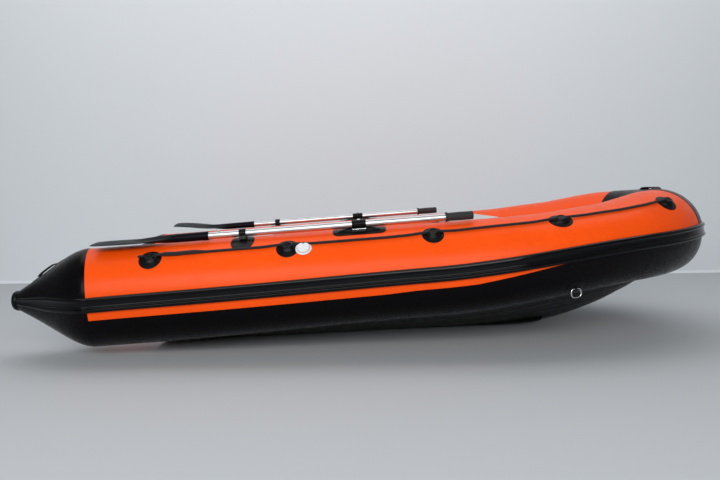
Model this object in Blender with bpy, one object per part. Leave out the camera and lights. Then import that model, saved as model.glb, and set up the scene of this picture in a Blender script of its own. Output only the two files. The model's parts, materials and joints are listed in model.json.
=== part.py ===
"""Inflatable motor boat: two air chambers that meet at the bow, a V bottom over an
inflatable keel, a rigid transom, floorboards, two sliding benches and two stowed oars.

Metres. +X runs to the bow, +Y to port and +Z up. The origin is on the floor under the
middle of the boat. Both tubes are lofts of one round section along a sheer line, and
what is glued on a tube is cut by that tube with the seat clearance between them.
"""
import math

import bmesh
import bpy
import numpy as np
from mathutils import Matrix, Vector
from mathutils.geometry import distance_point_to_plane

for old in list(bpy.data.objects):
    bpy.data.objects.remove(old, do_unlink=True)

# Hull and tubes
LENGTH_OVERALL = 3.42
AXIS_SPACING = 1.15
TUBE_RADIUS = 0.215
STERN_AXIS_HEIGHT = 0.277
SHEER_SLOPE = 0.060
SHEER_RISE = 0.066
RISE_START = 0.20
RISE_END = 1.16
STRAIGHT_END = 0.41
CONE_LENGTH = 0.36
CONE_SEAM_SLANT = 0.05
CONE_TIP_RADIUS = 0.042
CONE_TIP_DOME = 0.014
SEAT = 0.0003
SIDES = 24
PHASE_SHARE = 0.37
FLATNESS = 0.00001
CONE_POWER = 1.12
CONE_SHOULDER_SHARE = 0.9
CONE_SHARES = (0.0, 0.1, 0.25, 0.45, 0.7, 1.0)
TIP_DOME_SHARES = (0.5, 0.85)
STRAIGHT_PLACES = (-0.62, 0.02, 0.20)
ARC_STEPS = 11

# Rub rail and the black wrap under the tubes
RAIL_HALF_HEIGHT = 0.027
RAIL_PROUD = 0.016
RAIL_WEB = 0.006
SKIN_THICKNESS = 0.002
SKIN_EDGE_DROP = 0.068
SKIN_TAPER_START = 0.30
SKIN_TAPER_END = 0.90
SKIN_TOP_SHARE = 1.12
RAIL_GROOVE_SHARE = 0.35
RAIL_TIP_SHARE = 0.45
RAIL_SHARES = (
    (0.96, 0.36), (0.80, 0.74), (0.46, 0.78), (0.30, 0.42),
    (-0.38, 0.42), (-0.48, 0.80), (-0.72, 1.0), (-0.94, 0.75),
)

# Bottom, keel and floor
BOTTOM_THICKNESS = 0.003
BOTTOM_EDGE_ANGLE = -92.0
BOTTOM_SWELL_POWER = 1.25
KEEL_RISE_START = 0.25
KEEL_END = 1.36
KEEL_RISE = 0.28
KEEL_POWER = 2.6
FLAT_SHARE = 0.42
FLAT_START = -0.55
FLAT_END = 0.75
BOTTOM_START = -1.125
FLOOR_DROP_SHARE = 0.6977
BOARD_THICKNESS = 0.012
BOARD_JOINT = 0.0006
BOARD_LENGTH = 0.52
FLOOR_START = -1.045
FLOOR_SIDE_CLEARANCE = 0.0068
BOW_BOARD_LENGTH = 0.48
BOW_BOARD_NOSE = 0.10
BOW_BOARD_SLOPE = 0.135
KEEL_CHAMBER_START = -1.02
KEEL_CHAMBER_END = 0.86
KEEL_CLEARANCE = 0.0008
KEEL_BEND_AFTER = 0.067

# Transom
TRANSOM_X = -1.09
TRANSOM_THICKNESS = 0.036
TRANSOM_CENTRE_HEIGHT = 0.395
TRANSOM_WING_HEIGHT = 0.445
TRANSOM_NOTCH_HALF = 0.20
TRANSOM_WING_HALF = 0.26
TRANSOM_FOOT_SHARE = 0.8
BRACKET_BASE = 0.005
BRACKET_HALF_LENGTH = 0.060
BRACKET_CHEEK = 0.012
BRACKET_DEPTH = 0.042
BRACKET_INSET = 0.055
MOTOR_PLATE_WIDTH = 0.30
MOTOR_PLATE_HEIGHT = 0.16
MOTOR_PLATE_THICKNESS = 0.004
CLAMP_PAD_THICKNESS = 0.003
DRAIN_Y = 0.17
DRAIN_HEIGHT = 0.085
DRAIN_RADIUS = 0.016
DRAIN_BORE = 0.011
DRAIN_FLANGE = 0.027
DRAIN_FLANGE_THICKNESS = 0.004

# Benches and their rails
RAIL_ANGLE = 135.0
SEAT_RAIL_START = -0.86
SEAT_RAIL_END = 0.66
SEAT_RAIL_BASE = 0.036
SEAT_RAIL_HEAD = 0.016
SEAT_RAIL_STEM = 0.007
SEAT_RAIL_HEIGHT = 0.014
SEAT_RAIL_FLANGE = 0.003
SEAT_RAIL_UNDER_SHARE = 0.66
BENCH_WIDTH = 0.20
BENCH_THICKNESS = 0.018
BENCH_END_CLEARANCE = 0.003
BENCH_CORNER = 0.03
BENCH_RAISE_SHARE = 0.8
BENCH_AFT_X = -0.69
BENCH_FORE_X = 0.46
RUNNER_LENGTH = 0.12
RUNNER_WIDTH = 0.030
RUNNER_CLEARANCE = 0.0008
RUNNER_SIDE_CLEARANCE = 0.0020
FORE_BENCH_EASE = 2.4

# Oars and oarlocks
OARLOCK_X = -0.112
OARLOCK_ANGLE = 76.0
OARLOCK_PAD_LENGTH = 0.24
OARLOCK_PAD_WIDTH = 0.10
PATCH_THICKNESS = 0.0025
HUMP_LENGTH = 0.062
HUMP_WIDTH = 0.044
HUMP_HEIGHT = 0.0105
HUMP_TAPER_SHARE = 0.25
HUMP_SHOULDER_SHARE = 0.4
HUMP_TOP_SHARE = 0.55
HUMP_SHARES = ((0.0, 1.0), (0.35, 1.0), (0.7, 0.72), (1.0, 0.30))
ROCKER_RADIUS = 0.0042
ROCKER_JOURNAL = 0.0024
ROCKER_RAISE = 0.0060
ROCKER_GAP = 0.0006
ROCKER_END_SHARE = 0.3
OAR_SHAFT_RADIUS = 0.016
OAR_WALL = 0.0018
SLEEVE_WALL = 0.0030
SLEEVE_LENGTH = 0.063
OAR_TILT = 0.003
OAR_AFT = 1.205
OAR_FORE = 0.515
BLADE_LENGTH = 0.36
BLADE_WIDTH = 0.155
BLADE_THICKNESS = 0.005
BLADE_EDGE_SHARE = 0.9
BLADE_SHARES = (
    (0.0, 0.62, 1.0), (0.05, 0.84, 1.0), (0.25, 1.0, 1.1),
    (0.6, 0.92, 1.3), (0.85, 0.62, 1.8), (1.0, 0.30, 3.0),
)
SOCKET_LENGTH = 0.15
SOCKET_RADIUS = 0.0195
SOCKET_LAP_SHARE = 0.3
SOCKET_START_SHARE = 0.80
SOCKET_TIP_SHARE = 0.45
SOCKET_MOUTH_SHARE = 0.45
GRIP_LENGTH = 0.125
GRIP_RADIUS = 0.0190
GRIP_FLANGE = 0.0225
GRIP_FLANGE_LENGTH = 0.006
GRIP_END_SHARE = 0.85
PIN_RADIUS = 0.004
PIN_HEAD = 0.0075
PIN_CROWN_SHARE = 0.8
BUTTON_BACK = 0.628
BUTTON_RADIUS = 0.0042
BUTTON_PROUD = 0.0060
BUTTON_FOOT_SHARE = 0.5
BUTTON_CROWN_SHARE = 0.6
CLIP_X = -0.66
CLIP_LENGTH = 0.10
CLIP_WIDTH = 0.095
CLIP_STRAP_WIDTH = 0.030
CLIP_STRAP_THICKNESS = 0.004

# Fittings glued on the tubes
ROPE_RADIUS = 0.006
ROPE_ANGLE = 58.5
ROPE_LIFT = 0.009
ROPE_TAIL = 0.055
HOLDER_RADIUS = 0.050
HOLDER_DOME_RADIUS = 0.034
HOLDER_DOME_HEIGHT = 0.021
HOLDER_ANGLE = 55.0
HOLDER_X = (-1.05, -0.45, 0.205, 0.765, 1.285)
VALVE_X = -0.36
VALVE_ANGLE = 45.0
VALVE_RADIUS = 0.036
VALVE_CAP_RADIUS = 0.028
VALVE_BODY_HEIGHT = 0.005
VALVE_CAP_HEIGHT = 0.008
VALVE_BORE = 0.017
VALVE_EDGE_SHARES = (0.94, 0.6)
CAP_EDGE_SHARES = (0.9, 0.7)
CAP_BAR_SHARES = (1.6, 0.4, 0.5)
TOW_X = 0.78
TOW_ANGLE = -48.0
TOW_PATCH_RADIUS = 0.042
TOW_BLOCK_LENGTH = 0.014
TOW_BLOCK_WIDTH = 0.014
TOW_BLOCK_HEIGHT = 0.012
TOW_WIRE = 0.003
TOW_RING_LENGTH = 0.048
TOW_RING_WIDTH = 0.040
TOW_CORNER_SHARE = 0.35
HANDLE_SPAN = 0.14
HANDLE_RISE = 0.030
HANDLE_WIDTH = 0.030
HANDLE_THICKNESS = 0.007
ARCH_STEPS = 10
STERN_HANDLE_SHARE = 0.58
STERN_HANDLE_SPAN = 0.085
STERN_HANDLE_RISE = 0.018
BOW_SHAVE_SHARE = 0.8
BOW_FORM_RINGS = 6

AXIS_Y = AXIS_SPACING / 2
BOW_AXIS_X = LENGTH_OVERALL / 2 - RAIL_PROUD - TUBE_RADIUS
SEAM_X = -LENGTH_OVERALL / 2 + CONE_LENGTH
ARC_LENGTH_X = BOW_AXIS_X - STRAIGHT_END
HALF_FACET = math.pi / SIDES
BOTTOM_EDGE = math.radians(BOTTOM_EDGE_ANGLE)
REACH = 3 * TUBE_RADIUS

BOAT = bpy.data.collections.new("inflatable_boat")
CUTTERS = bpy.data.collections.new("cutters")
for each in (BOAT, CUTTERS):
    bpy.context.scene.collection.children.link(each)


def make_material(name, color, roughness, metallic=0.0):
    """A Principled material with one colour."""
    material = bpy.data.materials.new(name)
    material.use_nodes = True
    shader = material.node_tree.nodes["Principled BSDF"]
    shader.inputs["Base Color"].default_value = (*color, 1.0)
    shader.inputs["Roughness"].default_value = roughness
    shader.inputs["Metallic"].default_value = metallic
    return material


ORANGE = make_material("orange_pvc", (0.90, 0.13, 0.02), 0.35)
BLACK = make_material("black_pvc", (0.012, 0.011, 0.012), 0.35)
RUBBER = make_material("black_rubber", (0.02, 0.02, 0.022), 0.55)
GREY = make_material("grey_plastic", (0.55, 0.56, 0.57), 0.45)
BOARD = make_material("grey_board", (0.30, 0.31, 0.32), 0.6)
METAL = make_material("anodised_aluminium", (0.80, 0.81, 0.82), 0.25, 1.0)
STEEL = make_material("stainless_steel", (0.65, 0.66, 0.68), 0.2, 1.0)
BLADE = make_material("blade_plastic", (0.015, 0.02, 0.035), 0.35)
ROPE = make_material("black_rope", (0.015, 0.015, 0.016), 0.8)


def add_object(name, mesh, material=None, cutter=False):
    """Link a mesh as a sub-part, or as a cutter that the build leaves out."""
    item = bpy.data.objects.new(name, mesh)
    if material:
        mesh.materials.append(material)
    if cutter:
        CUTTERS.objects.link(item)
        item.hide_render = True
        item.display_type = "WIRE"
    else:
        BOAT.objects.link(item)
    return item


def finish_mesh(name, form, smooth=True):
    """Turn a bmesh into a mesh with its faces pointing out."""
    bmesh.ops.recalc_face_normals(form, faces=form.faces)
    mesh = bpy.data.meshes.new(name)
    form.to_mesh(mesh)
    form.free()
    if smooth:
        mesh.shade_smooth()
        mesh.set_sharp_from_angle(angle=math.radians(32))
    return mesh


def loft_mesh(name, rings, turned_from=None):
    """A closed body through rings of equal count, with a flat cap at each end.

    A four-sided patch that isn't flat is split from the earlier point of one ring to
    the later point of the next, so that wraps lie on the tube's own facets. From the
    column turned_from on it is split the other way, so that both sides of a thin sheet
    are split alike.
    """
    form = bmesh.new()
    rows = [[form.verts.new(Vector(point)) for point in ring] for ring in rings]
    count = len(rows[0])
    for row, after in zip(rows, rows[1:]):
        for i in range(count):
            j = (i + 1) % count
            corners = [row[i], row[j], after[j], after[i]]
            if distance_point_to_plane(
                after[i].co, row[i].co, (row[j].co - row[i].co).cross(after[j].co - row[i].co),
            ) ** 2 < FLATNESS ** 2:
                form.faces.new(corners)
                continue
            if turned_from is not None and i >= turned_from:
                corners = corners[1:] + corners[:1]
            form.faces.new(corners[:3])
            form.faces.new((corners[0], corners[2], corners[3]))
    form.faces.new(rows[0][::-1])
    form.faces.new(rows[-1])
    return finish_mesh(name, form)


def prism_mesh(name, outline, low, high):
    """An outline in the XY plane, carried from one height to another."""
    return loft_mesh(name, [[(x, y, z) for x, y in outline] for z in (low, high)])


def turned_mesh(name, profile, steps=18):
    """A closed profile of radius and height pairs, turned about Z."""
    form = bmesh.new()
    points = [form.verts.new((radius, 0.0, height)) for radius, height in profile]
    edges = [form.edges.new(pair) for pair in zip(points, points[1:] + points[:1])]
    bmesh.ops.spin(
        form, geom=points + edges, cent=(0, 0, 0), axis=(0, 0, 1), angle=math.tau,
        steps=steps, use_merge=True,
    )
    bmesh.ops.remove_doubles(form, verts=form.verts, dist=1e-6)
    bmesh.ops.dissolve_degenerate(form, edges=form.edges, dist=1e-7)
    return finish_mesh(name, form)


def rounded_rectangle(length, width, corner, steps=3):
    """Outline points of a rectangle with round corners."""
    points = []
    for k, (sx, sy) in enumerate(((1, 1), (-1, 1), (-1, -1), (1, -1))):
        for i in range(steps + 1):
            turn = (k + i / steps) * math.pi / 2
            points.append((
                sx * (length / 2 - corner) + corner * math.cos(turn),
                sy * (width / 2 - corner) + corner * math.sin(turn),
            ))
    return points


def ellipse_outline(length, width, steps=24):
    """Outline points of an ellipse."""
    turns = [math.tau * (i + PHASE_SHARE) / steps for i in range(steps)]
    return [(length / 2 * math.cos(t), width / 2 * math.sin(t)) for t in turns]


def cut(item, cutter, operation="DIFFERENCE"):
    """Add an exact Boolean with another object."""
    step = item.modifiers.new(f"{operation.lower()}_{cutter.name}", "BOOLEAN")
    step.operation = operation
    step.solver = "EXACT"
    step.object = cutter
    return item


def sheer_height(x):
    """Height of the tube's axis: a straight sheer and one cosine rise to the bow."""
    share = np.clip((x - RISE_START) / (RISE_END - RISE_START), 0.0, 1.0)
    rise = SHEER_RISE * (1 - np.cos(np.pi * share)) / 2
    return STERN_AXIS_HEIGHT + SHEER_SLOPE * (x - SEAM_X) + rise


def sheer_gradient(x):
    """Slope of the tube's axis."""
    run = RISE_END - RISE_START
    share = (x - RISE_START) / run
    inside = (share > 0) & (share < 1)
    return SHEER_SLOPE + np.where(inside, SHEER_RISE * np.pi * np.sin(np.pi * share) / (2 * run), 0.0)


def tube_frames(xs, turns):
    """Axis points and their along, outward and upward directions, on the port side."""
    centre = np.stack([xs, AXIS_Y * np.cos(turns), sheer_height(xs)], 1)
    flat = np.where(turns > 0, 1.0, 0.0)
    run = np.where(flat > 0, ARC_LENGTH_X * np.cos(turns), 1.0)
    along = np.stack([run, -flat * AXIS_Y * np.sin(turns), sheer_gradient(xs) * run], 1)
    along /= np.linalg.norm(along, axis=1)[:, None]
    outward = np.stack([-along[:, 1], along[:, 0], np.zeros(len(xs))], 1)
    outward /= np.linalg.norm(outward, axis=1)[:, None]
    upward = np.cross(along, outward)
    return centre, along, outward, upward


def stations():
    """Frames of the tube from the cone seam to the middle of the bow."""
    straight = np.array([SEAM_X, *STRAIGHT_PLACES, STRAIGHT_END])
    turns = np.linspace(0, np.pi / 2, ARC_STEPS + 1)[1:]
    xs = np.concatenate([straight, STRAIGHT_END + ARC_LENGTH_X * np.sin(turns)])
    return tube_frames(xs, np.concatenate([np.zeros(len(straight)), turns]))


CENTRE, ALONG, OUTWARD, UPWARD = stations()
STATIONS = len(CENTRE)


def facet_radius(angle, radius=TUBE_RADIUS):
    """Distance from the axis to the many-sided section at an angle from outboard."""
    inside = (angle - HALF_FACET) % (2 * HALF_FACET) - HALF_FACET
    return radius * np.cos(HALF_FACET) / np.cos(inside)


def tube_ring(index, angles, lift=0.0):
    """Points of one station's section, lifted off the facets."""
    angles = np.atleast_1d(angles)
    radius = (facet_radius(angles) + lift)[:, None]
    slant = CONE_SEAM_SLANT * np.cos(angles)[:, None] * (index == 0)
    return (
        CENTRE[index] + ALONG[index] * slant
        + radius * (np.cos(angles)[:, None] * OUTWARD[index] + np.sin(angles)[:, None] * UPWARD[index])
    )


def station_share(x):
    """The station number, with its fraction, of a place along the tube's axis."""
    return float(np.interp(x, CENTRE[:, 0], np.arange(STATIONS)))


def between(rows, share):
    """Row of a grid at a station number with a fraction."""
    low = min(int(share), len(rows) - 2)
    return rows[low] + (rows[low + 1] - rows[low]) * (share - low)


def to_side(points, side):
    """Port points as they are, or mirrored to starboard."""
    return np.asarray(points) * np.array([1.0, side, 1.0])


RING_ANGLES = HALF_FACET + 2 * HALF_FACET * np.arange(SIDES)
SIDE_NAMES = {1: "port", -1: "starboard"}


def chamber_rings(lift=0.0):
    """Rings of a whole tube from the seam to the bow plane."""
    rings = np.array([tube_ring(i, RING_ANGLES, lift) for i in range(STATIONS)])
    rings[-1, :, 1] = SEAT / 2
    return rings


TUBE_FORMS = {}


def tube_form(side, lift):
    """The tube as a cutter, swollen by the lift and run on past both ends."""
    key = (side, round(lift, 6))
    if key not in TUBE_FORMS:
        rings = chamber_rings(lift)
        first = rings[0] - ALONG[0] * CONE_LENGTH
        last = rings[-1] - np.array([0.0, TUBE_RADIUS, 0.0])
        rings = np.concatenate([first[None], rings, last[None]])
        name = f"tube_form_{SIDE_NAMES[side]}_{len(TUBE_FORMS)}"
        mesh = loft_mesh(name, to_side(rings, side))
        TUBE_FORMS[key] = add_object(name, mesh, cutter=True)
    return TUBE_FORMS[key]


def tube_place(side, x, degrees, raised=0.0):
    """Matrix of a fitting on the tube: X along it, Z off it, at an angle from outboard."""
    share = station_share(x)
    angle = math.radians(degrees)
    centre, along = between(CENTRE, share), between(ALONG, share)
    outward, upward = between(OUTWARD, share), between(UPWARD, share)
    radial = math.cos(angle) * outward + math.sin(angle) * upward
    place = centre + radial * (facet_radius(angle) + raised)
    along, radial, place = (to_side(v, side) for v in (along, radial, place))
    z = Vector(radial).normalized()
    x_axis = (Vector(along) - z * z.dot(Vector(along))).normalized()
    y_axis = z.cross(x_axis)
    matrix = Matrix((x_axis, y_axis, z)).transposed().to_4x4()
    matrix.translation = Vector(place)
    return matrix


def patch(name, side, place, outline, material, thickness=PATCH_THICKNESS, depth=HOLDER_RADIUS):
    """A sheet of an outline, wrapped on the tube."""
    item = add_object(name, prism_mesh(name, outline, -depth, depth), material)
    item.matrix_world = place
    cut(item, tube_form(side, SEAT + thickness), "INTERSECT")
    return item


def helper(name, mesh, place):
    """A cutter or a shape to be joined, at its place."""
    item = add_object(name, mesh, cutter=True)
    item.matrix_world = place
    return item


# The two air chambers and their stern cones
def cone_radius(share):
    """Radius along the stern cone, nearly straight after a full shoulder by the tube."""
    fall = share ** CONE_POWER - CONE_SHOULDER_SHARE * share * (1 - share) ** 3
    return CONE_TIP_RADIUS + (TUBE_RADIUS - CONE_TIP_RADIUS) * (1 - fall)


def cone_ring(share, angles, lift=0.0):
    """Section of the stern cone at a share of its length."""
    body = CONE_LENGTH - CONE_TIP_DOME
    centre = CENTRE[0] - ALONG[0] * (SEAT + body * share)
    slant = CONE_SEAM_SLANT * np.cos(angles)[:, None] * (1 - share)
    radius = (facet_radius(angles, cone_radius(share)) + lift)[:, None]
    return (
        centre + ALONG[0] * slant
        + radius * (np.cos(angles)[:, None] * OUTWARD[0] + np.sin(angles)[:, None] * UPWARD[0])
    )


def arch_mesh(name, span, rise, width, thickness, sink):
    """A strap handle: a flat bar bent in an arch along X, its feet sunk below."""
    rings = []
    for i in range(ARCH_STEPS + 1):
        share = i / ARCH_STEPS * 2 - 1
        x = span / 2 * share
        z = rise * (1 - share ** 4) - sink * abs(share) ** 9
        slope = -4 * rise * share ** 3 / (span / 2)
        away = Vector((-slope, 0.0, 1.0)).normalized() * thickness / 2
        middle = Vector((x, 0.0, z))
        side = Vector((0.0, width / 2, 0.0))
        rings.append([
            middle + away + side, middle + away - side, middle - away - side, middle - away + side,
        ])
    return loft_mesh(name, rings)


for side, word in SIDE_NAMES.items():
    mesh = loft_mesh(f"{word}_chamber", to_side(chamber_rings(), side))
    add_object(f"{word}_chamber", mesh, ORANGE)

    rings = [cone_ring(share, RING_ANGLES) for share in CONE_SHARES]
    tip = rings[-1].mean(0)
    last, full_turn = rings[-1], math.sin(TIP_DOME_SHARES[-1] * math.pi / 2)
    for share in TIP_DOME_SHARES:
        turn = share * math.pi / 2
        ring = tip + (last - tip) * math.cos(turn)
        rings.append(ring - ALONG[0] * CONE_TIP_DOME * math.sin(turn) / full_turn)
    cone = add_object(f"{word}_cone", loft_mesh(f"{word}_cone", to_side(rings, side)), BLACK)
    top = to_side(cone_ring(STERN_HANDLE_SHARE, np.array([math.pi / 2]))[0], side)
    reach = STERN_HANDLE_SPAN / 2 / CONE_LENGTH
    before, after = cone_radius(STERN_HANDLE_SHARE - reach), cone_radius(STERN_HANDLE_SHARE + reach)
    fall = (before - after) / STERN_HANDLE_SPAN + SHEER_SLOPE
    place = Matrix.Translation(Vector(top)) @ Matrix.Rotation(-math.atan(fall), 4, "Y")
    arch = arch_mesh(
        "stern_handle", STERN_HANDLE_SPAN, STERN_HANDLE_RISE, HANDLE_WIDTH, HANDLE_THICKNESS, HANDLE_RISE,
    )
    cut(cone, helper(f"{word}_stern_handle", arch, place), "UNION")


# Black wrap under each tube, from below the rub rail to the bottom sheet
def skin_edge(x):
    """Angle of the wrap's upper edge, which rises to the rail towards the bow."""
    share = np.clip((x - SKIN_TAPER_START) / (SKIN_TAPER_END - SKIN_TAPER_START), 0, 1)
    low, high = math.asin(SKIN_EDGE_DROP / TUBE_RADIUS), SKIN_TOP_SHARE * HALF_FACET
    return -(low + (high - low) * share)


for side, word in SIDE_NAMES.items():
    rings = []
    for i in range(STATIONS):
        corners = [-(2 * k + 1) * HALF_FACET for k in range(5, 0, -1)]
        angles = np.array([BOTTOM_EDGE] + corners + [skin_edge(CENTRE[i, 0])])
        near = tube_ring(i, angles, 2 * SEAT)
        far = tube_ring(i, angles, 2 * SEAT + SKIN_THICKNESS)
        rings.append(np.concatenate([near, far[::-1]]))
    rings = np.array(rings)
    rings[-1, :, 1] = SEAT / 2
    add_object(f"{word}_lower_skin", loft_mesh(f"{word}_lower_skin", to_side(rings, side)), BLACK)


# Rub rail: one extrusion from the port cone round the bow to the starboard cone
def rail_profile():
    """Rail section as out and up pairs: a web, two ribs and a lower lip."""
    high, groove = RAIL_HALF_HEIGHT, RAIL_WEB * RAIL_GROOVE_SHARE
    outer = [(groove + (RAIL_PROUD - groove) * out, up * high) for up, out in RAIL_SHARES]
    return [(0.0, high)] + outer + [(0.0, -high)]


def rail_ring(centre, outward, upward, radius, size=1.0, along=0.0, direction=ALONG[0]):
    """The rail's section on the flat facet at the tube's side."""
    base = radius * math.cos(HALF_FACET) + 2 * SEAT
    flat = math.tan(HALF_FACET) * radius * math.cos(HALF_FACET)
    squeeze = min(1.0, flat / RAIL_HALF_HEIGHT)
    return np.array([
        centre + direction * along + outward * (base + out * size) + upward * up * squeeze
        for out, up in rail_profile()
    ])


half = []
for share in CONE_SHARES[-2::-1]:
    body = CONE_LENGTH - CONE_TIP_DOME
    centre = CENTRE[0] - ALONG[0] * (SEAT + body * share)
    size = 1 - (1 - RAIL_TIP_SHARE) * share
    half.append(rail_ring(
        centre, OUTWARD[0], UPWARD[0], cone_radius(share), size, CONE_SEAM_SLANT * (1 - share),
    ))
for i in range(1, STATIONS):
    half.append(rail_ring(CENTRE[i], OUTWARD[i], UPWARD[i], TUBE_RADIUS))
other = [to_side(ring, -1) for ring in half[:-1]][::-1]
add_object("rub_rail", loft_mesh("rub_rail", half + other), RUBBER)


# Bottom sheet: from tube to tube over the keel line, flat at the stern and V forward
def keel_height(x):
    """Height of the keel line, flat and then rising by a power curve."""
    share = max(0.0, (x - KEEL_RISE_START) / (KEEL_END - KEEL_RISE_START))
    return KEEL_RISE * share ** KEEL_POWER


COLUMN_SHARES = (0.80, 0.58, 0.36, 0.0)


def bottom_row(index):
    """Upper surface of the bottom sheet at a station, from the port tube to the keel."""
    flange_angles = np.array([BOTTOM_EDGE - SEAT / TUBE_RADIUS * 2, -13 * HALF_FACET])
    flange = tube_ring(index, flange_angles, SEAT)
    edge = flange[-1]
    reach = edge[0] - STRAIGHT_END
    keel_x = edge[0]
    if reach > 0:
        full = BOW_AXIS_X - STRAIGHT_END
        keel_x = STRAIGHT_END + reach * (KEEL_END - STRAIGHT_END) / full
    keel = np.array([keel_x, 0.0, keel_height(keel_x) + BOTTOM_THICKNESS])
    fade = np.clip((FLAT_END - CENTRE[index, 0]) / (FLAT_END - FLAT_START), 0.0, 1.0)
    flat = FLAT_SHARE * fade
    points = list(flange)
    for column in COLUMN_SHARES:
        point = keel + (edge - keel) * column
        swell = (max(0.0, column - flat) / (1 - flat)) ** BOTTOM_SWELL_POWER
        point[2] = keel[2] + (edge[2] - keel[2]) * swell
        points.append(point)
    return np.array(points)


BOTTOM = np.array([bottom_row(i) for i in range(STATIONS - 1)])


def bottom_at(share):
    """The sheet's upper surface at a station number with a fraction."""
    return between(BOTTOM, share)


def across(row):
    """A port half row and its mirror image, from port to starboard."""
    return np.concatenate([row, to_side(row[:-1], -1)[::-1]])


BOTTOM_SHARES = [station_share(BOTTOM_START)]
BOTTOM_SHARES += [float(i) for i in range(STATIONS - 1) if i > BOTTOM_SHARES[0]]
rings = []
for share in BOTTOM_SHARES:
    upper = across(bottom_at(share))
    lower = upper - np.array([0.0, 0.0, BOTTOM_THICKNESS])
    rings.append(np.concatenate([upper, lower[::-1]]))
add_object("hull_bottom", loft_mesh("hull_bottom", rings, len(rings[0]) // 2), BLACK)


# Floorboards in one sloping plane, with a bow board that tilts up
FLOOR_SLOPE = SHEER_SLOPE


def floor_height(x):
    """Top of the floor, parallel to the tubes and steeper under the bow board."""
    bend = FLOOR_START + 3 * BOARD_LENGTH
    start = sheer_height(FLOOR_START) - FLOOR_DROP_SHARE * TUBE_RADIUS
    return start + FLOOR_SLOPE * (min(x, bend) - FLOOR_START) + BOW_BOARD_SLOPE * max(0.0, x - bend)


def tube_inner_edge(share, height):
    """Port point where the tube's inner side comes down to a height."""
    centre, outward = between(CENTRE, share), between(OUTWARD, share)
    drop = centre[2] - height
    inset = math.sqrt(max(0.0, TUBE_RADIUS ** 2 - drop ** 2))
    return centre - outward * inset


def floor_outline(start, end, steps):
    """Plan outline of a board that fills the space between the tubes."""
    port = []
    for x in np.linspace(start, end, steps):
        low = station_share(x)
        share = low
        for _ in range(12):
            point = tube_inner_edge(share, floor_height(x))
            share += (x - point[0]) * 4
            share = min(max(share, 0.0), STATIONS - 1.001)
        port.append((x, point[1] - FLOOR_SIDE_CLEARANCE))
    return port + [(x, -y) for x, y in port[::-1]]


def board(name, start, end, steps=2, rounded=0.0):
    """A floorboard between two places, in the floor's plane."""
    outline = floor_outline(start, end, steps)
    if rounded:
        tip = outline[steps - 1]
        nose = [
            (end + rounded * math.sin(t), tip[1] * math.cos(t))
            for t in np.linspace(0, math.pi, 9)[1:-1]
        ]
        outline = outline[:steps] + nose + outline[steps:]
    top = [(x, y, floor_height(x)) for x, y in outline]
    low = [(x, y, z - BOARD_THICKNESS) for x, y, z in top]
    item = add_object(name, loft_mesh(name, [low, top]), BOARD)
    return item


edge = FLOOR_START
for number in (1, 2, 3):
    board(f"floorboard_{number}", edge, edge + BOARD_LENGTH - BOARD_JOINT, 5)
    edge += BOARD_LENGTH
board("floorboard_bow", edge, edge + BOW_BOARD_LENGTH, 6, rounded=BOW_BOARD_NOSE)

# Keel chamber between the bottom sheet and the floorboards
rings = []
KEEL_COLUMNS = 2
starts = station_share(KEEL_CHAMBER_START)
ends = station_share(KEEL_CHAMBER_END)
FLOOR_BEND = FLOOR_START + 3 * BOARD_LENGTH
marks = sorted([starts, ends] + [float(i) for i in range(STATIONS - 1) if starts < i < ends])
for share in marks:
    low = across(bottom_at(share)[-KEEL_COLUMNS:]) + np.array([0.0, 0.0, KEEL_CLEARANCE])
    high = low[::-1].copy()
    past_bend = np.maximum(0.0, high[:, 0] - FLOOR_BEND - KEEL_BEND_AFTER)
    flat_floor = floor_height(FLOOR_BEND) + FLOOR_SLOPE * (high[:, 0] - FLOOR_BEND)
    high[:, 2] = flat_floor + (BOW_BOARD_SLOPE - FLOOR_SLOPE) * past_bend - BOARD_THICKNESS - SEAT
    rings.append(np.concatenate([low, high]))
add_object("keel_chamber", loft_mesh("keel_chamber", rings), BLACK)

# Transom board, held by a bracket on each tube
TRANSOM_FRONT = TRANSOM_X + TRANSOM_THICKNESS / 2
TRANSOM_BACK = TRANSOM_X - TRANSOM_THICKNESS / 2
notch, wing = TRANSOM_NOTCH_HALF, TRANSOM_WING_HALF
foot = AXIS_Y - 2 * BRACKET_INSET
tube_height = float(sheer_height(TRANSOM_X))
half_outline = [
    (notch, TRANSOM_CENTRE_HEIGHT), (wing, TRANSOM_WING_HEIGHT), (AXIS_Y, TRANSOM_WING_HEIGHT),
    (AXIS_Y, tube_height), (foot, tube_height - TUBE_RADIUS * TRANSOM_FOOT_SHARE), (foot, -BOTTOM_THICKNESS),
]
outline = [(-y, z) for y, z in half_outline[::-1]] + half_outline
slab = prism_mesh("transom_board", outline, -TRANSOM_THICKNESS / 2, TRANSOM_THICKNESS / 2)
UPRIGHT = Matrix(((0, 0, 1, TRANSOM_X), (1, 0, 0, 0), (0, 1, 0, 0), (0, 0, 0, 1)))
transom = add_object("transom_board", slab, BOARD)
transom.matrix_world = UPRIGHT
plate_height = TRANSOM_CENTRE_HEIGHT - MOTOR_PLATE_HEIGHT / 2 - BRACKET_CHEEK
plate_outline = rounded_rectangle(MOTOR_PLATE_WIDTH, MOTOR_PLATE_HEIGHT, BENCH_CORNER)
clamp_pad = prism_mesh("clamp_pad", plate_outline, 0.0, TRANSOM_THICKNESS / 2 + CLAMP_PAD_THICKNESS)
clamp_place = UPRIGHT @ Matrix.Translation((0.0, plate_height, 0.0))
cut(transom, helper("clamp_pad", clamp_pad, clamp_place), "UNION")
for side in SIDE_NAMES:
    cut(transom, tube_form(side, BRACKET_BASE + 2 * SEAT))

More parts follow.
